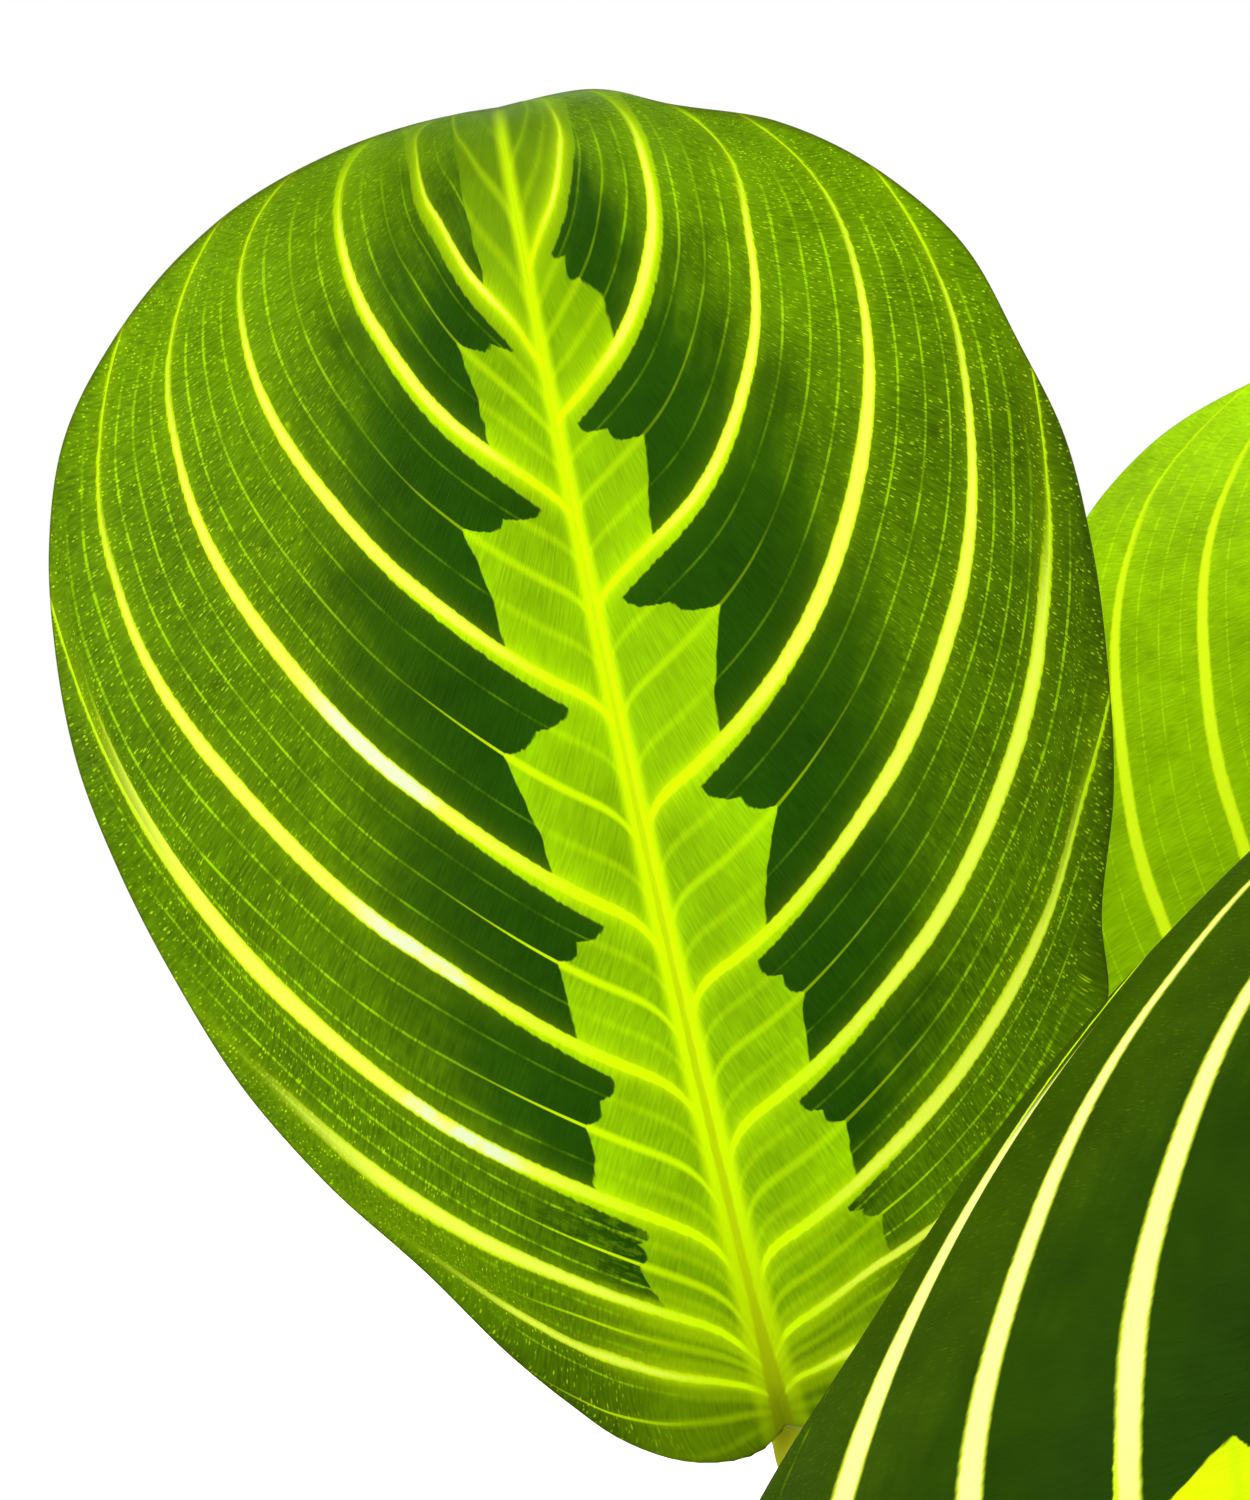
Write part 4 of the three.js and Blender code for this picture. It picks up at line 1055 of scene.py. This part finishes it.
def stalk_radius(path):
    """Radius along a stalk: the sheath thins over its lower part, and the joint swells over the last
    millimetres."""
    run_up = running(np.linalg.norm(np.diff(path, axis=0), axis=1))
    left = run_up[-1] - run_up
    thin = STALK["sheath"] + (STALK["middle"] - STALK["sheath"]) * ease(0, 0.45, run_up / run_up[-1])
    joint = 1 - ease(STALK["joint_length"] - 2.0, STALK["joint_length"] + 2.5, left)
    shape = thin + (STALK["joint"] - thin) * joint
    return np.where(left < 2.0, STALK["end"] + (shape - STALK["end"]) * ease(0, 2.0, left), shape)


print("knots of a stem:", len(stem_points(*STEMS[0])))

# %% [markdown]
# The skin of a stem is a yellowish green with fine fibres along it and a few brown dots. It is juicy, so
# light goes some way into it. That is why it has subsurface scattering and hardly any gloss.

# %% Stem finish
stem_finish, m = new_finish("stem")
spot = m.spot()
fibre = m.noise(m.made("ShaderNodeMapping", {"Vector": spot, "Scale": (900, 900, 90)}), 1.0, 3.0, 0.6)
patch = m.noise(spot, 90.0, 3.0, 0.6)
dot = m.fall(m.cells(spot, 1500.0)[0], 0.12, 0.28) * m.ramp(patch, 0.5, 0.7)
green = m.coats(tint(198, 202, 6), (m.ramp(patch, 0.35, 0.65), tint(214, 212, 26)),
                (fibre * 0.35, tint(120, 122, 20)), (dot * 0.6, tint(110, 70, 25)))
m.surface(m.gloss({
    "Base Color": green, "Roughness": fibre * 0.2 + 0.38, "Specular IOR Level": 0.12,
    "Subsurface Weight": 0.7, "Subsurface Radius": (0.002, 0.003, 0.0006)}, (fibre, 0.4, 0.0002)))

print("stem finish nodes:", len(m.tree.nodes))

# %% [markdown]
# Each leafy stem and its stalks grew as one, so they are one piece. The two new leaves stand on stalks as
# well, and are listed here because their stalks belong to the stems.

# %% Stems and stalks
ROLLS = [{"at": 1, "face": (-1, 0, 0), "joint": (1, 0), **roll} for roll in (
    dict(stem=3, base=(36, 14, 184), tip=(0.1, 0.12, 0.98), length=74, radius=3.4),
    dict(stem=2, base=(30, -16, 164), tip=(0.2, 0, 0.97), length=60, radius=2.9),
)]
STEM_RINGS, STALK_RINGS = 60, 56
for number, (root, top) in enumerate(STEMS):
    share = np.linspace(0, 1, STEM_RINGS)
    knuckles = (0.5 + 0.5 * np.cos(2 * np.pi * share * STEM["joints"])) ** 6
    radius = STEM["foot"] + (STEM["top"] - STEM["foot"]) * share + STEM["knuckle"] * knuckles
    path = smooth_curve(stem_points(root, top), 0.5, STEM_RINGS)
    parts = [skin(tube(path, np.minimum(radius, STEM["foot"]), 20))]
    for leaf in LEAVES + ROLLS:
        if leaf["stem"] == number:
            path = stalk_path(leaf, STALK_RINGS)
            parts.append(skin(tube(path, stalk_radius(path), 16)))
    points, quads, triangles = joined(parts)
    piece = put_mesh(f"stem_{number + 1}", points * MM, quads, triangles, [stem_finish])
    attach(piece, "root")
    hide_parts(f"shoot_{number + 1}")
print("stems:", len(STEMS))

# %% [markdown]
# A new leaf comes up rolled lengthwise like a slim cigar. Its skin stands out a little more all the way
# round, up to the free edge, and that edge slides round along the roll, so it shows as a slanting line.

# %% New leaf finish
roll_finish, m = new_finish("new leaf")
turn, height_share = m.pair("roll")
slant = m.math("FRACT", height_share * 9.0 + turn * 1.6)
ridge = m.fall(abs(slant - 0.5), 0.0, 0.12)
veil = m.noise(m.place(turn * 6.0, height_share * 30.0), 1.0, 3.0)
green = m.coats(tint(190, 212, 60), (m.ramp(height_share, 0.0, 1.0), tint(132, 172, 20)),
                (ridge * 0.45, tint(216, 236, 90)))
m.surface(m.gloss({"Base Color": m.scaled(green, veil * 0.4 + 0.8), "Roughness": veil * 0.15 + 0.36,
                   "Specular IOR Level": 0.3}))
print("new leaf finish nodes:", len(m.tree.nodes))

# %% [markdown]
# The roll itself is rings round a slightly bowed line. Each ring's radius grows slowly all the way round and
# drops back at the free edge.

# %% Rolled leaves
ROLL_ROUND = 48
ROLL_RINGS = 90
for number, leaf in enumerate(ROLLS, 1):
    right, along, out = blade_axes(leaf)
    share = np.linspace(0, 1, ROLL_RINGS)
    width = leaf["radius"] * (0.35 + 0.65 * ease(0, 0.3, share)) * (1 - 0.93 * ease(0.45, 1, share))
    around = np.arange(ROLL_ROUND) / ROLL_ROUND
    lap = (around[None] + 0.42 * share[:, None] + 0.25) % 1.0
    bulge = 0.84 + 0.26 * lap * (1 - ease(0.93, 1.0, lap)) * (1 - ease(0.9, 1, share))[:, None]
    bow = 0.06 * share * (1 - share) * leaf["length"]
    centre = np.asarray(leaf["base"], float) + np.outer(share * leaf["length"], along)
    centre = centre + np.outer(bow, right + 0.6 * out)
    cos, sin = circle(ROLL_ROUND)
    spokes = cos[:, None] * right + sin[:, None] * out
    points, quads, triangles = skin(centre[:, None] + spokes[None] * (width[:, None] * bulge)[..., None])
    places = np.stack([np.tile(around, ROLL_RINGS), np.repeat(share, ROLL_ROUND)], axis=-1)
    places = np.concatenate([places, [[0.5, 0.0], [0.5, 1.0]]])
    corners = np.concatenate([quads.ravel(), triangles.ravel()])
    piece = put_mesh(f"rolled_leaf_{number}", points * MM, quads, triangles, [roll_finish],
                     {"roll": places[corners]})
    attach(piece, "root")
    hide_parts(f"new_leaf_{number}")
print("new leaves:", len(ROLLS))

# %% [markdown]
# The pot is a plain thrown clay pot. Its wall is one profile turned round the axis. The profile follows the
# measured model, with rounded edges and the faint rings that the potter's fingers leave. Salts from the water
# have left pale clouds near the rim and the foot, which is what makes fired clay look used.

# %% Pot profile
POT = {
    "height": 112.0, "foot": 46.0, "mouth": 64.0, "rim": 69.0, "rim_height": 20.0, "wall": 5.5, "floor": 8.0,
}
POT_TURNS = 144
PROFILE_STEP = 1.6
FINGER_DEPTH, FINGER_SPACING = 0.18, 4.6


def outer_radius(z):
    """Outer radius of the tapering wall at a height."""
    return POT["foot"] + (POT["mouth"] - POT["foot"]) * z / POT["height"]


def pot_profile():
    """Radius and height around the wall, from the middle of the foot, up outside, over the rim and down
    inside."""
    top, foot, rim = POT["height"], POT["foot"], POT["rim"]
    under = top - POT["rim_height"]
    inner = [outer_radius(z) - POT["wall"] for z in (top, POT["floor"])]
    knots = np.array([
        (3.0, 0.0), (foot - 2.0, 0.0), (foot - 0.6, 0.5), (foot, 1.8),
        (outer_radius(under) - 0.3, under - 1.2), (outer_radius(under) + 0.6, under - 0.2),
        (rim - 1.4, under), (rim - 0.3, under + 0.5), (rim, under + 1.6), (rim + 0.9, top - 3.0),
        (rim + 0.7, top - 1.2), (rim - 0.8, top), (inner[0] + 2.2, top),
        (inner[0] + 0.7, top - 0.6), (inner[0], top - 2.2), (inner[1] + 1.0, POT["floor"] + 3.0),
        (inner[1] - 2.0, POT["floor"]), (3.0, POT["floor"]),
    ])
    pieces = []
    for start, end in zip(knots[:-1], knots[1:]):
        steps = max(1, int(np.linalg.norm(end - start) / PROFILE_STEP))
        pieces.append(start + (end - start) * np.linspace(0, 1, steps, endpoint=False)[:, None])
    profile = np.concatenate(pieces + [knots[-1:]])
    radius, z = profile.T
    wall = (radius > outer_radius(z) - 1.0) & (z > 3.0) & (z < under - 3.0)
    profile[:, 0] -= np.where(wall, FINGER_DEPTH * (1 + np.sin(z * 2 * np.pi / FINGER_SPACING)), 0.0)
    return profile


def turned(profile, turns):
    """Rings of a profile of radius and height carried round the upright axis."""
    cos, sin = circle(turns)
    radius, z = profile[:, 0, None], profile[:, 1, None]
    return np.stack([radius * cos, radius * sin, z + 0 * cos], axis=-1)


print("points round the pot's profile:", len(pot_profile()))

# %% [markdown]
# Fired clay is matt and mottled, with dark grit and fine scores from the wheel. All of it is noise read at
# the place on the pot, stretched sideways for the scores, so that no map has to be unwrapped.

# %% Clay and pot
clay, m = new_finish("clay")
spot = m.spot()
rise = m.parts(spot)[2]
mottle = m.noise(spot, 28.0, 5.0, 0.6)
grit = m.noise(spot, 900.0, 3.0, 0.7)
scores = m.noise(m.made("ShaderNodeMapping", {"Vector": spot, "Scale": (3, 3, 260)}), 1.0, 3.0, 0.5)
salt_zone = m.math("MAXIMUM", m.ramp(rise, 0.080, 0.108), m.ramp(rise, 0.026, 0.004))
salt = salt_zone * m.ramp(m.noise(spot, 46.0, 6.0, 0.68), 0.46, 0.62)
fired = m.coats(tint(176, 92, 56), (m.ramp(mottle, 0.3, 0.7), tint(202, 118, 76)),
                (m.ramp(grit, 0.6, 0.75) * 0.35, tint(120, 62, 42)),
                ((scores - 0.3) * 0.35, tint(164, 84, 52)), (salt * 0.55, tint(226, 206, 184)))
m.surface(m.gloss({"Base Color": fired, "Roughness": grit * 0.2 + 0.72, "Specular IOR Level": 0.3},
                  (grit * 0.5 + scores * 0.8, 0.5, 0.0004)))

points, quads, triangles = skin(turned(pot_profile(), POT_TURNS))
pot_piece = put_mesh("clay_pot", points * MM, quads, triangles, [clay])
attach(pot_piece, "root")
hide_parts("pot")
print("pot points:", len(points))

# %% [markdown]
# Potting soil is a loose mix of peat crumbs, bark and a few white grains of perlite. Its top is a disc of
# rings with lumps, a sum of a few waves of different lengths. Crumbs are small blobs strewn over it.

# %% Soil
SOIL_RINGS = 60
SOIL_TURNS = 160
SOIL_GAP = 0.5


def inside_radius(z):
    """Radius of the soil at a height: the pot's inner wall with a small gap."""
    return outer_radius(z) - POT["wall"] - SOIL_GAP


def soil_height(x, y):
    """Height of the soil top in millimetres: a low dome and lumps of three sizes, each a product of waves."""
    r = np.hypot(x, y)
    dome = SOIL_TOP - 1.4 * ease(24, inside_radius(SOIL_TOP), r) - 0.6
    lumps = (0.45 * np.sin(x * 0.31 + 1.1) * np.sin(y * 0.37 + 0.4)
             + 0.30 * np.sin(x * 0.83 + y * 0.51) * np.sin(y * 0.91 - x * 0.33 + 2.0)
             + 0.16 * np.sin(x * 2.3 + 1.7 * np.sin(y * 1.3)) * np.sin(y * 2.1 + 1.3 * np.sin(x * 1.7)))
    return dome + lumps - 0.25


share = np.linspace(0, 1, SOIL_RINGS)[::-1] ** 0.9
low_z = np.array([POT["floor"] + SOIL_GAP, SOIL_TOP - 4.0])
radius = np.concatenate([inside_radius(low_z), np.maximum(share * inside_radius(SOIL_TOP), 0.4)])
soil_rings = turned(np.stack([radius, np.pad(low_z, (0, SOIL_RINGS))], axis=-1), SOIL_TURNS)
soil_top = soil_rings[len(low_z):]
soil_top[..., 2] = soil_height(soil_top[..., 0], soil_top[..., 1])
print("rings of the soil:", len(soil_rings))

# %% [markdown]
# A crumb is a small ball whose points are pushed in and out by chance. All crumbs are made at once as one
# array, each stretched, turned and set down on the soil. The chance is seeded, so it is the same each time.

# %% Crumbs
CRUMBS = 520
CRUMB_RINGS, CRUMB_TURNS = 4, 7
rng = np.random.default_rng(7)
crumb_angle = rng.uniform(0, 2 * np.pi, CRUMBS)
crumb_reach = (inside_radius(SOIL_TOP) - 3.0) * np.sqrt(rng.uniform(0, 1, CRUMBS))
crumb_size = rng.uniform(0.5, 1.7, CRUMBS) * np.where(rng.uniform(0, 1, CRUMBS) > 0.9, 1.5, 1.0)
crumb_x, crumb_y = crumb_reach * np.cos(crumb_angle), crumb_reach * np.sin(crumb_angle)
ring_a = np.linspace(0, np.pi, CRUMB_RINGS + 2)[1:-1]
ball = turned(np.stack([np.sin(ring_a), -np.cos(ring_a)], axis=-1), CRUMB_TURNS)
stretch_by = rng.uniform(0.6, 1.3, (CRUMBS, 3)) * np.array([1.2, 1.0, 0.7])
bumps = rng.uniform(0.78, 1.2, (CRUMBS, CRUMB_RINGS, CRUMB_TURNS, 1))
blobs = ball[None] * stretch_by[:, None, None] * crumb_size[:, None, None, None] * bumps
spin = rng.uniform(0, 2 * np.pi, CRUMBS)
cos_s, sin_s = np.cos(spin)[:, None, None], np.sin(spin)[:, None, None]
blobs = np.stack([blobs[..., 0] * cos_s - blobs[..., 1] * sin_s,
                  blobs[..., 0] * sin_s + blobs[..., 1] * cos_s, blobs[..., 2]], axis=-1)
centres = np.stack([crumb_x, crumb_y, soil_height(crumb_x, crumb_y) + 0.25 * crumb_size], axis=-1)
blobs = blobs + centres[:, None, None]
print("soil crumbs:", CRUMBS)

# %% [markdown]
# Soil is dark and dull. The grain of a second noise makes some crumbs brown and a few white, like bark and
# perlite, and the bump is coarse, because light from the side shows every crumb.

# %% Soil finish and piece
soil_finish, m = new_finish("soil")
spot = m.spot()
lumps = m.noise(spot, 220.0, 4.0, 0.7)
chance = m.cells(spot, 260.0)[1]
earth = m.coats(tint(44, 30, 22), (m.ramp(lumps, 0.35, 0.65), tint(84, 60, 42)),
                (m.ramp(chance, 0.75, 0.8) * 0.6, tint(118, 84, 56)),
                (m.ramp(chance, 0.955, 0.965), tint(214, 208, 196)))
m.surface(m.gloss({"Base Color": earth, "Roughness": lumps * 0.18 + 0.8}, (lumps, 0.9, 0.0012)))

points, quads, triangles = joined([skin(soil_rings)] + [skin(blob) for blob in blobs])
soil_piece = put_mesh("potting_soil", points * MM, quads, triangles, [soil_finish])
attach(soil_piece, "root")
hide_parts("soil")
print("soil points:", len(points))

# %% [markdown]
# The floor is a plain pale disc. It only catches a soft shadow, and it is not attached to the plant like the
# pieces.

# %% Floor
FLOOR_REACH = 2.5
FLOOR_TURNS = 64
BELOW_POT = 0.0002
cos, sin = circle(FLOOR_TURNS)
points = np.stack([FLOOR_REACH * cos, FLOOR_REACH * sin, 0 * cos - BELOW_POT], axis=-1)
points = np.concatenate([points, [[0, 0, -BELOW_POT]]])
here = np.arange(FLOOR_TURNS)
fan = np.stack([here, np.roll(here, -1), np.full(FLOOR_TURNS, FLOOR_TURNS)], axis=-1)
floor_finish, m = new_finish("floor")
m.surface(m.gloss({"Base Color": (0.92, 0.92, 0.92, 1.0), "Roughness": 0.9, "Specular IOR Level": 0.1}))
floor = put_mesh("floor", points, np.zeros((0, 4), int), fan, [floor_finish])
print("floor of", len(fan), "triangles,", FLOOR_REACH, "metres round the pot")

# %% [markdown]
